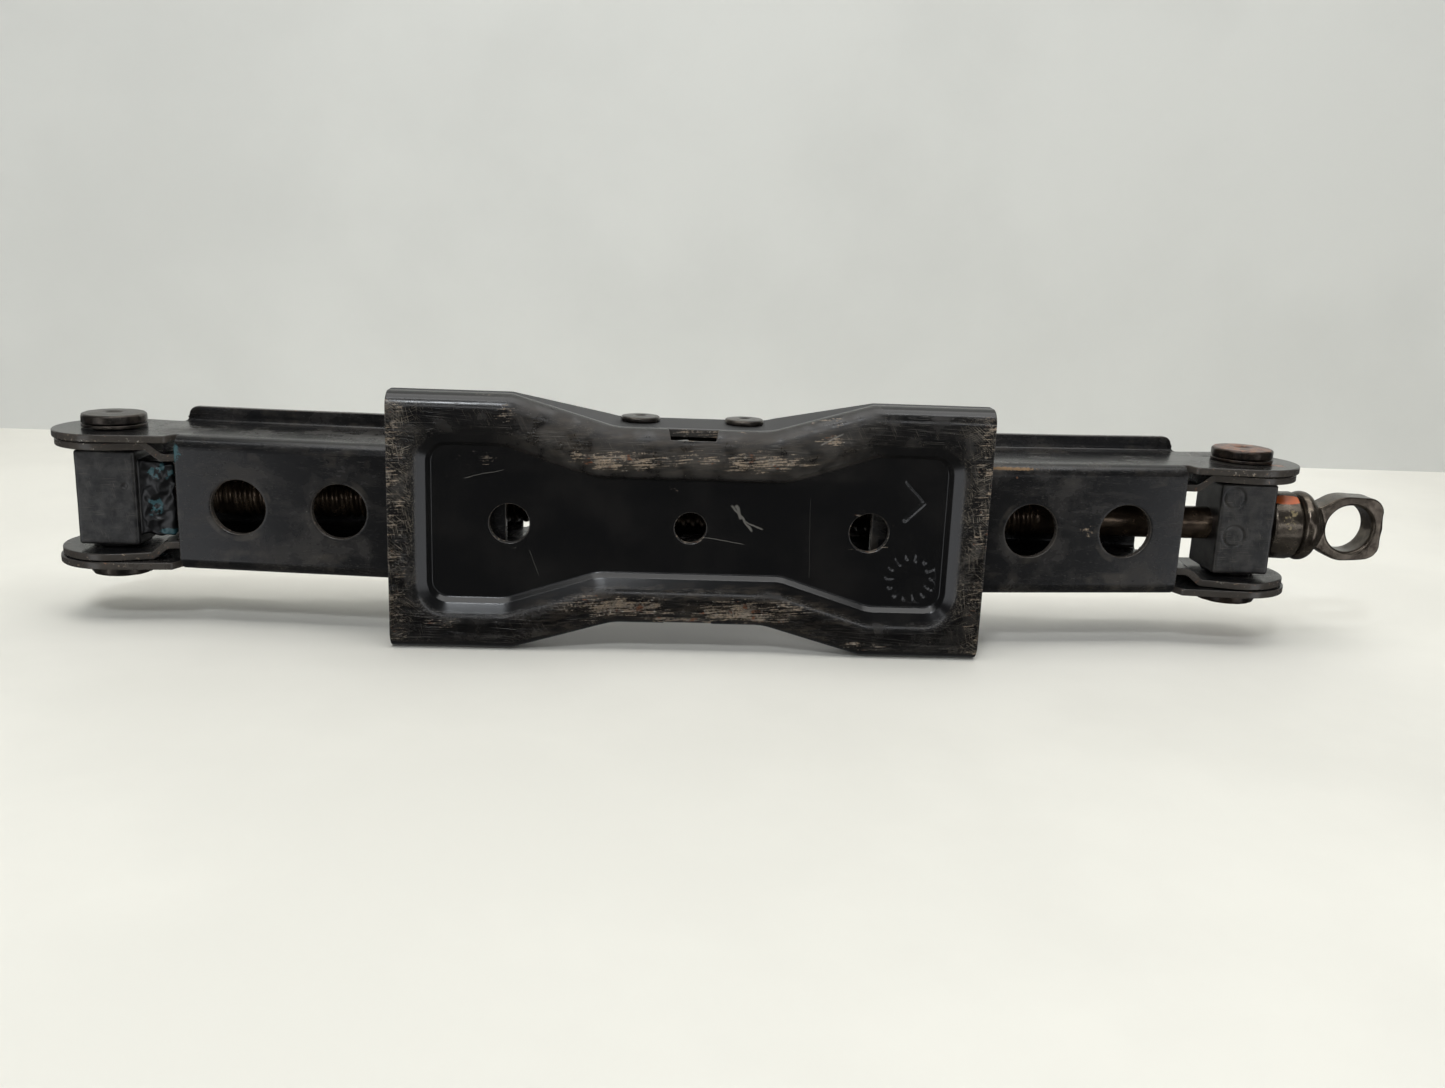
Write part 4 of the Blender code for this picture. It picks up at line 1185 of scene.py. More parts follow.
def thrust_parts(washer_mat, collar_mat):
    face = TRUNNION_HALF + BLOCK_HALF
    start = face - THRUST_DEPTH + GAP
    profile = washer_profile(start, face + THRUST_PROUD, SHANK_RADIUS + GAP, THRUST_RADIUS)
    axis_at = (0, 0, TRUNNION_HEIGHT)
    turned_piece("thrust_washer_ring", profile, (1, 0, 0), axis_at, washer_mat, "thrust_washer")
    start = face + THRUST_PROUD + GAP
    bore = SHANK_RADIUS + GAP
    corners = [
        (start, (bore + COLLAR_RADIUS) / 2), (start, COLLAR_RADIUS - 0.5),
        (start + 0.6, COLLAR_RADIUS - 0.15), (COLLAR_END - 1.0, COLLAR_RADIUS),
        (COLLAR_END, COLLAR_RADIUS - 0.9), (COLLAR_END, bore), (start, bore),
        (start, (bore + COLLAR_RADIUS) / 2),
    ]
    profile = rounded(corners, (0.3, 0.4, 0.5, 0.4, 0.2, 0.2), 4)
    turned_piece("thrust_collar_sleeve", profile, (1, 0, 0), axis_at, collar_mat, "thrust_collar",
                 rough=0.25, crisp=60)


def drive_eye(start, socket_end, mat):
    """A forged bead and a flattened eye, with a socket for the screw's end."""
    middle = (start + BEAD_END) / 2
    half = (BEAD_END - start) / 2
    profile = [
        (middle - half * math.cos(a), BEAD_RADIUS - half * 0.8 * (1 - math.sin(a)))
        for a in [math.pi * i / 18 for i in range(18)]
    ]
    profile += [(BEAD_END, 8.6), (BEAD_END + NECK_LENGTH / 2, 7.6), (BEAD_END + NECK_LENGTH, 4.0)]
    back = (-EYE_HOLE_X, 0, 0)
    bead = finish_mesh("bead", turned([(d - EYE_HOLE_X, r) for d, r in profile], (1, 0, 0)))
    hole_profile = [
        (-EYE_THICKNESS, EYE_HOLE + 3.2), (-EYE_THICKNESS / 2 + 0.9, EYE_HOLE),
        (EYE_THICKNESS / 2 - 0.9, EYE_HOLE), (EYE_THICKNESS, EYE_HOLE + 3.2),
    ]
    hole = finish_mesh("hole", turned(hole_profile, (0, 0, 1)))
    socket = [(start - 1, SHANK_RADIUS + GAP), (socket_end, SHANK_RADIUS + GAP)]
    socket_mesh = finish_mesh("socket", turned(socket, (1, 0, 0)))
    steps = [("UNION", eye_loop(), (0, 0, 0)), ("DIFFERENCE", hole, (0, 0, 0)),
             ("DIFFERENCE", socket_mesh, back)]
    mesh = solid(bead, steps, 0.28, 8)
    shift_points(mesh, lambda points: points + lumpy(points, 6, 0.16))
    piece("drive_eye_forging", place(mesh, (EYE_HOLE_X, 0, TRUNNION_HEIGHT)), mat, "drive_eye",
          weighted=False)


def eye_loop():
    """The flat loop round the hook hole: round at the neck, squarer at the tip."""
    points = [(BEAD_END - 1, 0), (BEAD_END - 1, 6.0), (BEAD_END + 3, 7.2)]
    points += [(EYE_HOLE_X - 3.5, EYE_HALF + 0.1), (EYE_END - 1.3, EYE_HALF - 0.7), (EYE_END, 0)]
    path = [(x - EYE_HOLE_X, y) for x, y in rounded(points, (1.0, 6, 10, 5.2), 12)]
    loop = path[1:]
    loop += [(x, -y) for x, y in reversed(loop[:-1])]
    bm = bmesh.new()
    low = [bm.verts.new((x, y, -EYE_THICKNESS / 2)) for x, y in loop]
    high = [bm.verts.new((x, y, EYE_THICKNESS / 2)) for x, y in loop]
    join_rows(bm, low, high)
    caps = [bm.faces.new(low), bm.faces.new(high)]
    rims = {edge for cap in caps for edge in cap.edges}
    bmesh.ops.bevel(bm, geom=list(rims), offset=1.6, segments=5, profile=0.5, affect="EDGES")
    return finish_mesh("eye_loop", bm)


# ---------------------------------------------------------------- looks


def tone(red, green, blue):
    """A linear colour from display values of 0 to 255."""
    return tuple((c / 255 / 12.92) if c <= 10 else ((c / 255 + 0.055) / 1.055) ** 2.4
                 for c in (red, green, blue))


BLACK = tone(10, 10, 11)
CHARCOAL = tone(17, 17, 18)
# Colour of a dust film, and also of the painted floor reflection on the base's top slope.
FILM_AND_REFLECTION = tone(62, 58, 54)
TAN = tone(158, 140, 120)
PALE = tone(190, 186, 178)
RUST = tone(122, 74, 44)
OCHRE = tone(120, 92, 58)
DARK_RUST = tone(66, 42, 30)
BARE = tone(120, 112, 102)
TEAL = tone(44, 78, 84)
PAINT_MARK = tone(190, 92, 42)
# Colour of the painted highlight down the thrust collar.
GOLDEN_HIGHLIGHT = tone(132, 120, 92)


class Value:
    """A number or vector socket of a look, whose arithmetic adds Math nodes."""

    def __init__(self, look, socket):
        self.look = look
        self.socket = socket

    def __add__(self, other):
        return self.look.math("ADD", self, other)

    def __sub__(self, other):
        return self.look.math("SUBTRACT", self, other)

    def __mul__(self, other):
        return self.look.math("MULTIPLY", self, other)

    def most(self, other):
        return self.look.math("MAXIMUM", self, other)

    def size(self):
        return self.look.math("ABSOLUTE", self, 0)

    def ramp(self, low, high, start=0.0, end=1.0):
        """The value's way from low to high as a smooth step from start to end."""
        node = self.look.node("ShaderNodeMapRange", interpolation_type="SMOOTHSTEP")
        self.look.feed(node, 0, self)
        for index, number in enumerate((low, high, start, end), 1):
            node.inputs[index].default_value = number
        return Value(self.look, node.outputs[0])


class Look:
    """A worn surface: a Principled shader, with places in millimetres from the middle."""

    def __init__(self, name, specular):
        self.mat = bpy.data.materials.new(name)
        self.mat.use_nodes = True
        self.tree = self.mat.node_tree
        self.shader = self.tree.nodes["Principled BSDF"]
        self.shader.inputs["Specular IOR Level"].default_value = specular
        coords = self.node("ShaderNodeTexCoord")
        scale = self.node("ShaderNodeMapping")
        scale.inputs["Location"].default_value = (-SHIFT_X, 0, 0)
        scale.inputs["Scale"].default_value = (1 / MM,) * 3
        self.tree.links.new(coords.outputs["Object"], scale.inputs[0])
        self.place = Value(self, scale.outputs[0])
        parts = self.node("ShaderNodeSeparateXYZ")
        self.feed(parts, 0, self.place)
        self.x, self.y, self.z = (Value(self, socket) for socket in parts.outputs)

    def node(self, kind, **settings):
        node = self.tree.nodes.new(kind)
        for key, setting in settings.items():
            setattr(node, key, setting)
        return node

    def feed(self, node, name, source):
        if isinstance(source, Value):
            self.tree.links.new(source.socket, node.inputs[name])
        elif isinstance(source, tuple) and len(source) == 3 and node.inputs[name].type == "RGBA":
            node.inputs[name].default_value = (*source, 1)
        else:
            node.inputs[name].default_value = source

    def math(self, operation, a, b):
        node = self.node("ShaderNodeMath", operation=operation)
        self.feed(node, 0, a)
        self.feed(node, 1, b)
        return Value(self, node.outputs[0])

    def moved(self, centre=(0, 0, 0), turn=(0, 0, 0), stretch=(1, 1, 1)):
        """Places measured from a centre, turned, and stretched along the turned axes."""
        shift = self.node("ShaderNodeMapping")
        self.feed(shift, 0, self.place)
        shift.inputs["Location"].default_value = [-c for c in centre]
        node = self.node("ShaderNodeMapping")
        self.feed(node, 0, Value(self, shift.outputs[0]))
        node.inputs["Rotation"].default_value = [math.radians(a) for a in turn]
        after = self.node("ShaderNodeMapping")
        self.feed(after, 0, Value(self, node.outputs[0]))
        after.inputs["Scale"].default_value = [1 / s for s in stretch]
        return Value(self, after.outputs[0])

    def noise(self, size, detail=4.0, rough=0.55, turn=(0, 0, 0), stretch=(1, 1, 1), seed=0):
        """Noise whose features are about size millimetres, times the stretch."""
        where = self.moved((seed * 37.0, seed * 11.0, seed * 23.0), turn,
                           [size * s for s in stretch])
        node = self.node("ShaderNodeTexNoise")
        self.feed(node, "Vector", where)
        node.inputs["Scale"].default_value = 1.0
        node.inputs["Detail"].default_value = detail
        node.inputs["Roughness"].default_value = rough
        return Value(self, node.outputs[0])

    def cells(self, size, seed=0):
        where = self.moved((seed * 31.0, seed * 17.0, seed * 5.0), stretch=[size] * 3)
        node = self.node("ShaderNodeTexVoronoi")
        self.feed(node, "Vector", where)
        node.inputs["Scale"].default_value = 1.0
        return Value(self, node.outputs["Distance"])

    # The wear attribute, which over the rims is also the mask of the painted rim highlight.
    def wear(self):
        node = self.node("ShaderNodeAttribute", attribute_name="wear")
        return Value(self, node.outputs["Fac"])

    def blob(self, centre, reach, soft=0.9):
        """1 inside an ellipsoid about a centre, fading to 0 at its reach."""
        length = self.node("ShaderNodeVectorMath", operation="LENGTH")
        self.feed(length, 0, self.moved(centre, stretch=reach))
        return Value(self, length.outputs["Value"]).ramp(1.0, 1.0 - soft)

    def stroke(self, centre, length, width, angle, wobble):
        """A thin mark in the XY plane, with faded ends and a wavering line."""
        parts = self.node("ShaderNodeSeparateXYZ")
        self.feed(parts, 0, self.moved(centre, (0, 0, -angle)))
        along, across, _ = (Value(self, socket) for socket in parts.outputs)
        across = across + (self.noise(length / 2, detail=2, seed=length) - 0.5) * wobble
        ends = along.size().ramp(length / 2, length / 2 * 0.8)
        return ends * across.size().ramp(width, width * 0.35)

    def scratches(self, angle, length, width, share, seed=0):
        """Fine straight scratches in one direction; share is how many there are."""
        lines = self.noise(1.0, detail=1.5, rough=0.6, turn=(0, 0, -angle),
                           stretch=(length, width, width), seed=seed + 3)
        edge = 0.74 - 0.12 * share
        broken = self.noise(length * 0.8, detail=2, seed=seed + 5).ramp(0.42, 0.58)
        return lines.ramp(edge, edge + 0.05) * broken

    def mix(self, factor, below, above):
        node = self.node("ShaderNodeMix", data_type="RGBA")
        self.feed(node, 0, factor)
        self.feed(node, 6, below)
        self.feed(node, 7, above)
        return Value(self, node.outputs[2])

    def finish(self, colour, roughness, height, metallic=0.0, depth=0.1):
        """Connect the shader; height is in units of the depth in millimetres."""
        self.feed(self.shader, "Base Color", colour)
        self.feed(self.shader, "Roughness", roughness)
        self.feed(self.shader, "Metallic", metallic)
        bump = self.node("ShaderNodeBump")
        bump.inputs["Strength"].default_value = 1.0
        bump.inputs["Distance"].default_value = depth * MM
        self.feed(bump, "Height", height)
        self.tree.links.new(bump.outputs[0], self.shader.inputs["Normal"])
        return self.mat


def total(values):
    """The greatest of several masks."""
    return functools.reduce(Value.most, values)


def scuffed(look, base, masks, seed=0):
    """Lay tan, pale and rusty scuffs over a colour where the masks say; returns how much."""
    grain = look.noise(0.8, detail=5, rough=0.7, seed=seed)
    drag = look.noise(1.0, detail=3, rough=0.6, turn=(0, 0, 4), stretch=(7.0, 0.45, 2), seed=seed + 1)
    patch = look.noise(4.5, detail=5, rough=0.7, turn=(0, 0, 20), stretch=(1.8, 0.7, 1), seed=seed + 7)
    ragged = masks * 0.66 + (drag - 0.5) * 3.4 + (grain - 0.5) * 1.8 + (patch - 0.5) * 2.4
    bare = ragged.ramp(0.5, 0.85) * masks.ramp(0.02, 0.2)
    hue = look.noise(3.2, detail=3, seed=seed + 2)
    colour = look.mix(hue.ramp(0.40, 0.62), TAN, BARE)
    colour = look.mix(grain.ramp(0.60, 0.70), colour, PALE)
    colour = look.mix(hue.ramp(0.58, 0.66), colour, RUST)
    return look.mix(bare * 0.66, base, colour), bare


# Worn places of the crown: centre, reach, strength.
CROWN_SCUFFS = (
    ((-22, -20.6, 0), (25, 4.4, 4), 1.15),
    ((21, -21.2, 0), (21, 4.6, 4), 1.05),
    ((2, -22.0, 0), (13, 3.8, 4), 0.85),
    ((-20, 24.0, 0), (24, 4.6, 4), 1.25),
    ((18, 25.0, 0), (27, 5.6, 4), 1.25),
    ((-55, -34, 0), (4.5, 3.6, 5), 0.85),
    ((41, -29, 1), (8, 2.6, 4), 0.85),
    ((-74, 30.5, 0), (7, 2.8, 3), 0.8),
    ((50, 35, 0.6), (14, 2.0, 3), 0.75),
)

# Single scratches of the base: centre, length, width, angle, wobble, strength.
PANEL_SCRATCHES = (
    ((15.5, -3.5, 4), 11, 0.42, 52, 3.0, 1),
    ((19, -1.5, 4), 7, 0.3, 24, 1.5, 1),
    ((14.4, -5.4, 4), 5, 0.7, 66, 1.2, 1),
    ((9, 3.5, 4), 16, 0.14, 9, 1.0, 1),
    ((36.4, 2, 4), 27, 0.12, 88, 0.4, 0.2),
    ((-62, -15, 4), 13, 0.16, -14, 1.6, 0.6),
    ((41, -29, 1), 8, 0.35, -28, 0.6, 1),
    ((-47, 12, 4), 9, 0.12, 70, 0.5, 0.4),
)


def base_paint():
    """Near-black gloss paint, rubbed through on the crown's ends and round the waist, with a painted
    floor reflection on the top slope and a painted highlight along the rims.
    """
    look = Look("base_black_gloss", 0.4)
    crown = look.z.ramp(1.3, 0.5)
    ends = look.x.size().ramp(83.6, 87.5) * crown
    wear = look.wear()
    fine = look.scratches(0, 16, 0.16, 1.0) * crown
    fine = fine.most(look.scratches(4, 24, 0.12, 0.9, seed=1) * crown)
    cross = look.scratches(62, 9, 0.14, 0.7, seed=2) * crown
    hatch = look.scratches(38, 7, 0.2, 1.2, seed=7)
    hatch = hatch.most(look.scratches(-24, 9, 0.2, 1.2, seed=9))
    hatch = hatch.most(look.scratches(80, 6, 0.16, 1.0, seed=15))
    hatch = hatch * look.x.size().ramp(77, 87) * crown
    scuffs = [look.blob(centre, reach) * strength for centre, reach, strength in CROWN_SCUFFS]
    speckle = look.cells(1.3, seed=1).ramp(0.30, 0.14) * ends * 0.8
    specks = look.cells(2.6, seed=2).ramp(0.14, 0.05) * crown * 0.6
    crown_wear = total([speckle, specks * look.noise(9, seed=4).ramp(0.5, 0.64)])
    rim = wear.ramp(1.0, 1.45) * 0.5
    line = wear.ramp(0.1, 0.42) * look.noise(14, detail=3, seed=6).ramp(0.56, 0.7) * 0.4
    regions = total([*scuffs, crown_wear, rim, line, ends * 0.44])
    film_and_floor_reflection = look.noise(26, detail=5, rough=0.6, seed=8).ramp(0.42, 0.72) * 0.1
    film_and_floor_reflection = film_and_floor_reflection.most(crown * look.noise(7, detail=5, seed=9).ramp(0.36, 0.78) * 0.33)
    # Painted reflection of the floor: the top slope at the waist, which faces the floor, is laid with
    # the film colour.
    top = look.y.ramp(-14.2, -17) * look.z.ramp(4.2, 3.4) * look.x.size().ramp(66, 40)
    film_and_floor_reflection = film_and_floor_reflection.most(top * look.noise(8, detail=4, turn=(0, 0, 9), seed=13).ramp(0.26, 0.66) * 0.7)
    colour = look.mix(film_and_floor_reflection, BLACK, FILM_AND_REFLECTION)
    waist = look.x.size().ramp(60, 38) * look.z.ramp(2.4, 0.8)
    dust = look.noise(1.6, detail=3, rough=0.6, turn=(0, 0, 6), stretch=(5, 1, 3),
                      seed=14).ramp(0.4, 0.66)
    colour = look.mix(waist * dust * 0.17, colour, tone(98, 88, 76))
    colour = look.mix(fine * 0.4, colour, tone(110, 106, 100))
    colour = look.mix(cross * 0.25 + hatch * 0.55, colour, tone(146, 136, 122))
    # Painted highlight: a pale line over the rounded rims.
    colour = look.mix(wear.ramp(1.0, 1.4) * 0.3, colour, tone(96, 92, 88))
    panel_marks = total([look.stroke(*stroke) * strength for *stroke, strength in PANEL_SCRATCHES])
    colour = look.mix(panel_marks * 0.2, colour, PALE)
    colour, bare = scuffed(look, colour, regions, seed=3)
    peel = look.noise(1.3, detail=2, seed=11)
    flange = look.z.ramp(4.0, 7.5)
    roughness = (film_and_floor_reflection * 0.9 + bare * 0.5 + peel * 0.05 + flange * 0.6).ramp(0.0, 0.7, 0.19, 0.72)
    height = peel * 0.03 - bare * 0.35 + look.noise(0.35, detail=3) * bare * 0.5 - fine * 0.12
    return look.finish(colour, roughness, height - panel_marks * 0.1, depth=0.12)


def arm_paint(name, hand, marks):
    """Satin black with smudges, chipped along its rims, with a painted highlight along the rims and
    the given marks.
    """
    look = Look(name, 0.3)
    wear = look.wear()
    smudge = look.noise(16, detail=6, rough=0.62, seed=hand + 4).ramp(0.45, 0.72) * 0.42
    streak = look.noise(4, detail=5, stretch=(4, 1, 1), seed=hand + 6).ramp(0.5, 0.78) * 0.3
    fine = look.scratches(0, 20, 0.15, 0.8, seed=hand + 8)
    fine = fine.most(look.scratches(14, 12, 0.13, 0.5, seed=hand + 9))
    chips = look.noise(1.4, detail=5, rough=0.7, seed=hand + 2)
    rim = (wear.ramp(0.9, 1.4) * 0.34 + (chips - 0.5) * 1.3).ramp(0.46, 0.62)
    bend = wear.ramp(0.15, 0.45) * look.noise(9, detail=4, seed=hand + 3).ramp(0.5, 0.7) * 0.25
    spots = look.cells(9.0, seed=hand + 4).ramp(0.05, 0.02) * 0.6
    colour = look.mix(smudge.most(streak), CHARCOAL, FILM_AND_REFLECTION)
    colour = look.mix(fine * 0.3, colour, tone(104, 100, 94))
    colour = look.mix(bend, colour, tone(84, 78, 70))
    # Painted highlight: a dull light line over the rounded rims.
    colour = look.mix(wear.ramp(0.98, 1.4) * 0.32, colour, tone(96, 90, 84))
    hue = look.noise(5, detail=3, seed=hand + 5)
    chipped = look.mix(hue.ramp(0.45, 0.6), look.mix(hue.ramp(0.36, 0.44), PALE, TAN), RUST)
    colour = look.mix(rim.most(spots) * 0.8, colour, chipped)
    bare = rim
    for centre, reach, tint, strength in marks:
        grain = look.noise(1.1, detail=5, rough=0.7, seed=round(centre[0]))
        held = look.blob(centre, reach)
        mark = (held * strength + (grain - 0.5) * 1.6).ramp(0.34, 0.6) * held.ramp(0.0, 0.15)
        colour = look.mix(mark * 0.85, colour, tint)
        bare = bare.most(mark * 0.6)
    peel = look.noise(1.1, detail=2, seed=hand + 11)
    roughness = (smudge + streak + bare * 0.5 + peel * 0.06).ramp(0.0, 1.0, 0.2, 0.62)
    height = peel * 0.05 - bare * 0.3 - fine * 0.1 + look.noise(0.4, detail=3) * bare * 0.4
    return look.finish(colour, roughness, height, depth=0.12)


def steel(name, dark, light, rust_share, seed, roughness=(0.3, 0.6), metallic=0.75, extra=()):
    """Dark handled steel with rust in patches; extra marks are colour patches on it."""
    look = Look(name, 0.5)
    blotch = look.noise(4.5, detail=6, rough=0.62, seed=seed)
    grain = look.noise(0.8, detail=4, rough=0.7, seed=seed + 1)
    wear = look.scratches(0, 8, 0.14, 0.9, seed=seed + 2)
    wear = wear.most(look.scratches(75, 6, 0.14, 0.6, seed=seed + 3))
    colour = look.mix(blotch.ramp(0.35, 0.65), dark, light)
    rust = (blotch * 0.5 + grain * 0.5 + rust_share).ramp(0.62, 0.80)
    hue = look.noise(2.1, detail=4, seed=seed + 4).ramp(0.4, 0.65)
    colour = look.mix(rust, colour, look.mix(hue, DARK_RUST, RUST))
    colour = look.mix(wear * 0.4, colour, BARE)
    painted = None
    for mask, tint, strength in (mark(look) for mark in extra):
        edge = (mask * strength + (grain - 0.5) * 0.8).ramp(0.35, 0.6)
        colour = look.mix(edge, colour, tint)
        painted = edge if painted is None else painted.most(edge)
    dull = rust if painted is None else rust.most(painted)
    metal = dull.ramp(0, 1, metallic, 0.05)
    rough = (blotch * 0.5 + rust * 0.6 + grain * 0.2).ramp(0.2, 1.0, *roughness)
    height = grain * 0.25 + rust * 0.3 - wear * 0.1 + blotch * 0.3
    return look.finish(colour, rough, height, metal, depth=0.12)


def colour_patch(centre, reach, tint, strength, soft=0.9, broken=None, cut=(0.4, 0.6)):
    """An extra mark for steel(): a coloured patch, which a noise may break up."""
    def mark(look):
        mask = look.blob(centre, reach, soft)
        if broken:
            mask = mask * look.noise(**broken).ramp(*cut)
        return mask, tint, strength
    return mark


def collar_marks():
    """An orange paint dab and a painted golden highlight on the thrust collar."""
    return (
        colour_patch((194.8, -9.8, 26.5), (8.4, 1.9, 6), PAINT_MARK, 1.0, soft=0.5),
        # Painted highlight: a soft golden patch down the middle of the collar.
        colour_patch((195.4, -4.2, 23.2), (5.4, 7.0, 5), GOLDEN_HIGHLIGHT, 1.0, soft=0.95,
                   broken={"size": 2.6, "detail": 5, "rough": 0.65, "seed": 5}, cut=(0.36, 0.66)),
    )


def rusty_faces():
    """Rust on the outer faces of the heads, which stand proud of both sides."""
    proud = LOWER_HALF + WASHER_THICKNESS + TRUNNION_HEAD_LENGTH

    def brown(look):
        return look.y.size().ramp(proud - 0.2, proud + 0.6), DARK_RUST, 0.9

    def orange(look):
        face = look.y.size().ramp(proud, proud + 0.6)
        return face * look.noise(3.0, detail=4, seed=8).ramp(0.4, 0.62), RUST, 0.9

    return brown, orange


def grease_marks():
    """Old blue-green grease on the nut block, thickest beside the left lugs."""
    def sleeve(look):
        return look.x.ramp(-171.6, -170.9), BLACK, 1.2

    return (
        sleeve,
        colour_patch((-165, -8.5, 27), (8, 4.5, 5), TEAL, 1.1, broken={"size": 2.2, "seed": 3}),
        colour_patch((-167, 3, 27), (4.5, 6, 5), TEAL, 1.0, broken={"size": 2.0, "seed": 6},
                   cut=(0.42, 0.6)),
        colour_patch((-163, 10.5, 27), (6, 2.2, 6), TEAL, 0.8),
    )


# ---------------------------------------------------------------- stage and camera


CAMERA_PLACE = (-10.3, -86.1, -373.8)
CAMERA_YAW = math.radians(-3.06)
CAMERA_PITCH = math.radians(-13.48)
CAMERA_ROLL = math.radians(-2.25)
CAMERA_LENS = 31.9
WALL_AWAY = 390.0

# Soft boxes: name, place and size in metres, power, colour, and whether gloss mirrors them.
WARM = (1, 0.995, 0.98)
COOL = (0.94, 0.96, 1.0)
SOFT_BOXES = (
    ("ceiling", (0.05, -1.14, -0.06), (1.3, 0.85), 10.6, WARM, True),
    ("tube", (-0.05, -1.10, -0.42), (1.6, 0.05), 2.1, (0.95, 0.98, 1.0), True),
    ("window", (-0.23, -0.78, -0.72), (0.2, 0.1), 3.0, (0.92, 0.96, 1.0), True),
    ("over_camera", (0.1, -0.36, -1.15), (1.4, 0.12), 2.2, (0.95, 0.97, 1.0), True),
    ("right_front", (0.88, 0.2, -0.78), (0.8, 0.4), 1.8, COOL, True),
    ("left_front", (-0.84, 0.2, -0.82), (0.8, 0.4), 1.8, COOL, True),
    ("above_saddle", (0.25, -0.25, 1.1), (0.9, 0.7), 4, (1, 1, 1), True),
    ("behind", (-0.3, 0.95, 0.5), (0.8, 0.6), 3.5, (1, 1, 1), False),
)


def stage_plane(name, corners, colour, rough_size, unseen=()):
    """A one-sided plain surface: seen from its front only, and it blocks no light."""
    bm = bmesh.new()
    bm.faces.new([bm.verts.new(Vector(c) * MM) for c in corners])
    mesh = bpy.data.meshes.new(name)
    bm.to_mesh(mesh)
    bm.free()
    obj = linked(name, mesh)
    look = Look(f"{name}_surface", 0.25)
    tint = look.noise(rough_size, detail=5)
    light = look.mix(tint.ramp(0.35, 0.7), colour, tuple(c * 0.93 for c in colour))
    look.finish(light, 0.6, tint, depth=0.3)
    clear = look.node("ShaderNodeBsdfTransparent")
    side = look.node("ShaderNodeNewGeometry")
    mixer = look.node("ShaderNodeMixShader")
    output = look.tree.nodes["Material Output"]
    look.tree.links.new(side.outputs["Backfacing"], mixer.inputs[0])
    look.tree.links.new(look.shader.outputs[0], mixer.inputs[1])
    look.tree.links.new(clear.outputs[0], mixer.inputs[2])
    look.tree.links.new(mixer.outputs[0], output.inputs["Surface"])
    mesh.materials.append(look.mat)
    obj.visible_shadow = False
    for ray in unseen:
        setattr(obj, f"visible_{ray}", False)
    return obj


def stage():
    """The jack lies on its side: the floor is at its +Y edge and a wall stands behind."""
    far = 2600.0
    floor_y = END_HALF
    pale = (0.765, 0.75, 0.685)
    stage_plane("floor_under_side", [(-far, floor_y, -far), (far, floor_y, -far),
                                     (far, floor_y, WALL_AWAY), (-far, floor_y, WALL_AWAY)],
                pale, 120, unseen=("glossy",))
    stage_plane("wall_behind", [(-far, -far, WALL_AWAY), (-far, floor_y, WALL_AWAY),
                                (far, floor_y, WALL_AWAY), (far, -far, WALL_AWAY)],
                (0.69, 0.695, 0.665), 160)
    stage_plane("floor_under_base", [(-far, -far, 0), (far, -far, 0), (far, far, 0), (-far, far, 0)],
                pale, 120, unseen=("diffuse", "glossy"))


def soft_light(name, where, size, power, colour, in_gloss):
    """A rectangular soft box aimed at the jack."""
    light = bpy.data.lights.new(name, "AREA")
    light.shape = "RECTANGLE"
    light.size, light.size_y = size
    light.energy = power
    light.color = colour
    obj = linked(name, light)
    obj.location = Vector(where)
    aim = Vector((0, 0, TRUNNION_HEIGHT * MM)) - obj.location
    obj.rotation_euler = aim.to_track_quat("-Z", "Y").to_euler()
    obj.visible_camera = False
    obj.visible_glossy = in_gloss


def lights():
    world = bpy.data.worlds.new("pale_room")
    world.use_nodes = True
    background = world.node_tree.nodes["Background"]
    background.inputs["Color"].default_value = (0.80, 0.81, 0.80, 1)
    background.inputs["Strength"].default_value = 0.1
    bpy.context.scene.world = world
    for soft_box in SOFT_BOXES:
        soft_light(*soft_box)


def camera():
    """The photograph's view: level with the base's underside and a little above the jack."""
    forward = Vector((0, 0, 1))
    right = Vector((1, 0, 0))
    up = Vector((0, -1, 0))
    yaw = Matrix.Rotation(CAMERA_YAW, 3, up)
    forward, right = yaw @ forward, yaw @ right
    pitch = Matrix.Rotation(CAMERA_PITCH, 3, right)
    forward, up = pitch @ forward, pitch @ up
    roll = Matrix.Rotation(CAMERA_ROLL, 3, forward)
    right, up = roll @ right, roll @ up
    data = bpy.data.cameras.new("camera")
    data.lens = CAMERA_LENS
    data.sensor_width = 36
    data.clip_start = 0.01
    obj = linked("camera", data)
    basis = Matrix((right, up, -forward)).transposed().to_4x4()
    x, y, z = CAMERA_PLACE
    obj.matrix_world = Matrix.Translation(Vector((x + SHIFT_X, y, z)) * MM) @ basis
    bpy.context.scene.camera = obj


# ---------------------------------------------------------------- the jack


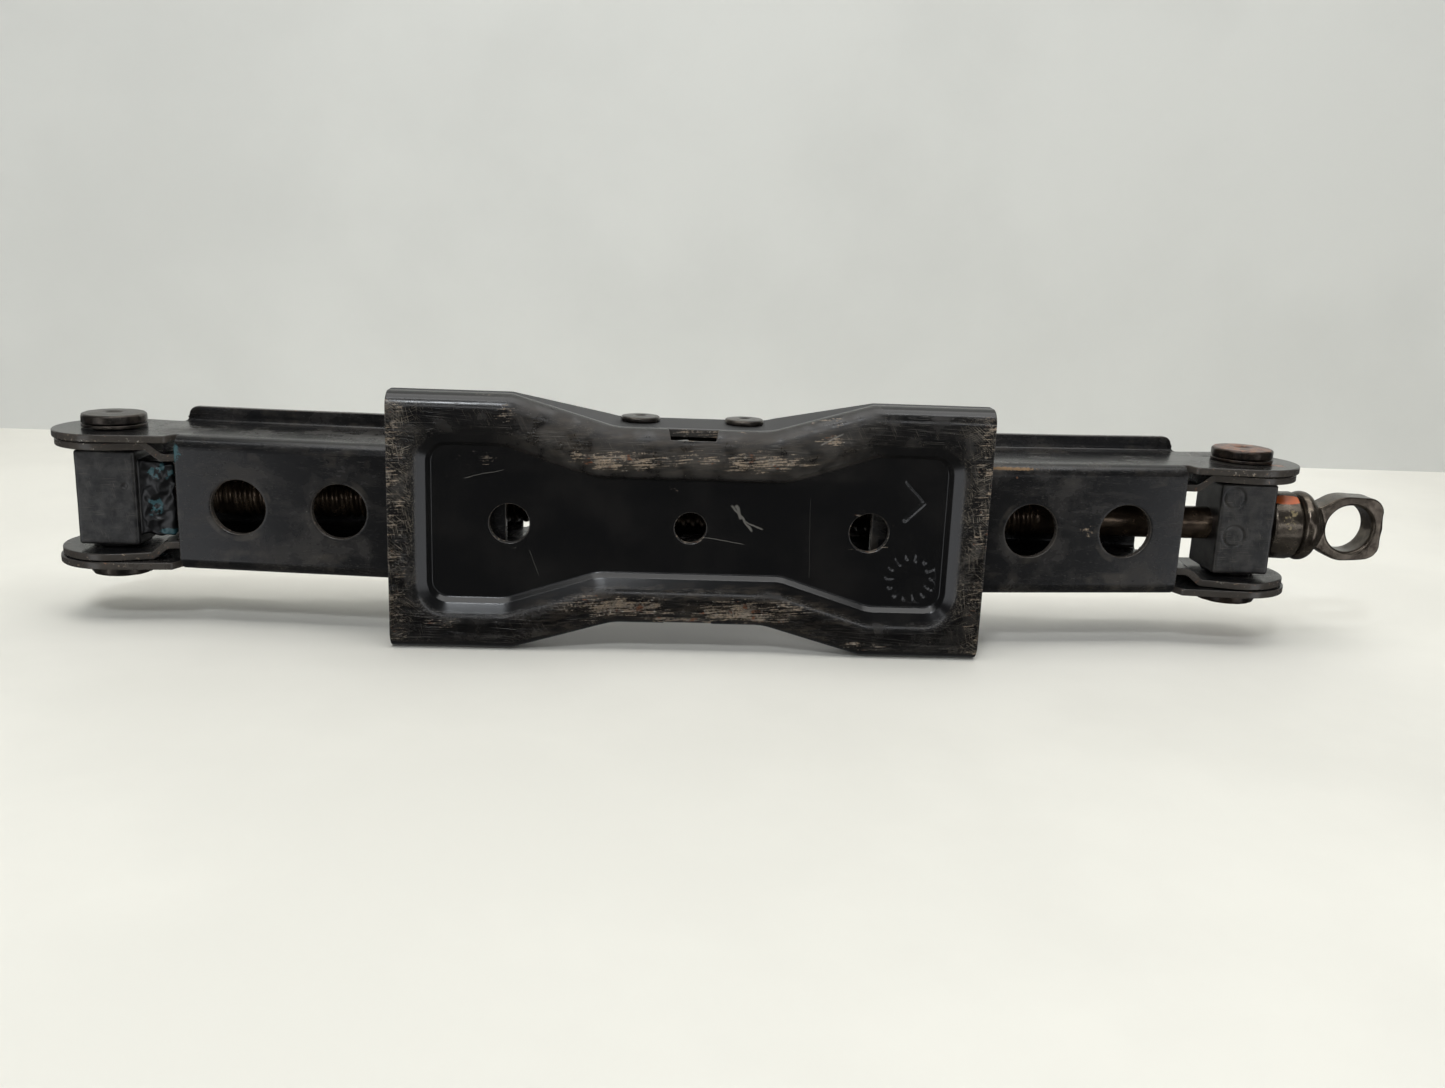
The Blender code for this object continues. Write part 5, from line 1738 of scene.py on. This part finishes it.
def pins_and_blocks():
    dark = (tone(36, 33, 31), tone(74, 68, 62))
    brown = (tone(58, 47, 38), tone(96, 82, 68))
    pin_steel = steel("dark_pin_steel", *dark, 0.02, 1)
    rusted = steel("rusted_pin_steel", tone(28, 25, 24), tone(64, 54, 46), 0.02, 12,
                   extra=rusty_faces())
    nut_steel = steel("nut_block_black", tone(20, 20, 21), tone(50, 49, 48), -0.10, 21,
                      roughness=(0.3, 0.55), metallic=0.1, extra=grease_marks())
    block_steel = steel("bearing_block_black", tone(20, 20, 20), tone(50, 48, 46), -0.04, 32,
                        roughness=(0.3, 0.55), metallic=0.1)
    washer_steel = steel("thrust_washer_steel", *brown, 0.02, 41)
    screw_steel = steel("screw_brown_steel", *brown, 0.0, 52, roughness=(0.22, 0.5))
    collar_steel = steel("collar_brown_steel", tone(66, 60, 54), tone(104, 96, 86), -0.02, 63,
                         roughness=(0.22, 0.5), metallic=0.85, extra=collar_marks())
    eye_steel = steel("eye_worn_steel", tone(56, 49, 43), tone(100, 92, 82), 0.02, 74,
                      roughness=(0.2, 0.5), metallic=0.85)
    for side, hand in (("left", -1), ("right", 1)):
        x = hand * PIVOT_HALF
        pivot_pin(f"base_pin_{side}", x, PIVOT_HEIGHT, WAIST_HALF, pin_steel)
        pivot_pin(f"saddle_pin_{side}", x, SADDLE_PIVOT_HEIGHT, SADDLE_HALF, pin_steel)
        stub_steel = rusted if hand > 0 else pin_steel
        for face, label in ((-1, "front"), (1, "back")):
            x = hand * TRUNNION_HALF
            trunnion_pin(f"trunnion_pin_{side}_{label}", x, face, stub_steel)
            trunnion_washer(f"trunnion_washer_{side}_{label}", x, face, stub_steel)
    nut_marks = [(5.9, -3.9, 1.1, 0)]
    bearing_marks = [(-5.0, -10.2, 3.9, 3.3), (-3.8, 2.3, 3.9, 3.3)]
    trunnion_block("nut_block", -TRUNNION_HALF, plain_bore(THREAD_RADIUS + GAP), nut_marks,
                   nut_steel, NUT_SLEEVE)
    bore = counterbore(SHANK_RADIUS + GAP, THRUST_RADIUS + GAP, THRUST_DEPTH)
    trunnion_block("bearing_block", TRUNNION_HALF, bore, bearing_marks, block_steel)
    thrust_parts(washer_steel, collar_steel)
    drive_screw(screw_steel)
    drive_eye(COLLAR_END + GAP, BEAD_END - 1.5 + GAP, eye_steel)


def arms():
    left_marks = (
        ((-158, -16, 20), (5, 5, 9), TEAL, 0.9),
        ((-170, 19, 28), (12, 6, 10), TEAL, 0.55),
        ((-150, 0, 19), (1.6, 14, 3), TAN, 0.4),
    )
    right_marks = (
        ((126, 0, 14), (6, 5, 3), TAN, 0.4),
        ((147, -8, 19), (0.9, 10, 3), TAN, 0.6),
        ((97, -19.6, 14), (22, 1.0, 3), OCHRE, 0.75),
        ((190, -21, 26), (5, 3, 5), RUST, 0.6),
    )
    for side, hand, marks in (("left", -1, left_marks), ("right", 1, right_marks)):
        lower_arm(side, hand, arm_paint(f"lower_arm_{side}_satin", hand, marks))
        upper_arm(side, hand, arm_paint(f"upper_arm_{side}_satin", hand + 9, ()))


def main():
    noise.seed_set(NOISE_SEED)
    bpy.context.scene.view_settings.view_transform = "Standard"
    bpy.context.scene.view_settings.look = "None"
    base_plate(base_paint())
    saddle(arm_paint("saddle_satin", 5, ()))
    arms()
    pins_and_blocks()
    stage()
    lights()
    camera()


main()
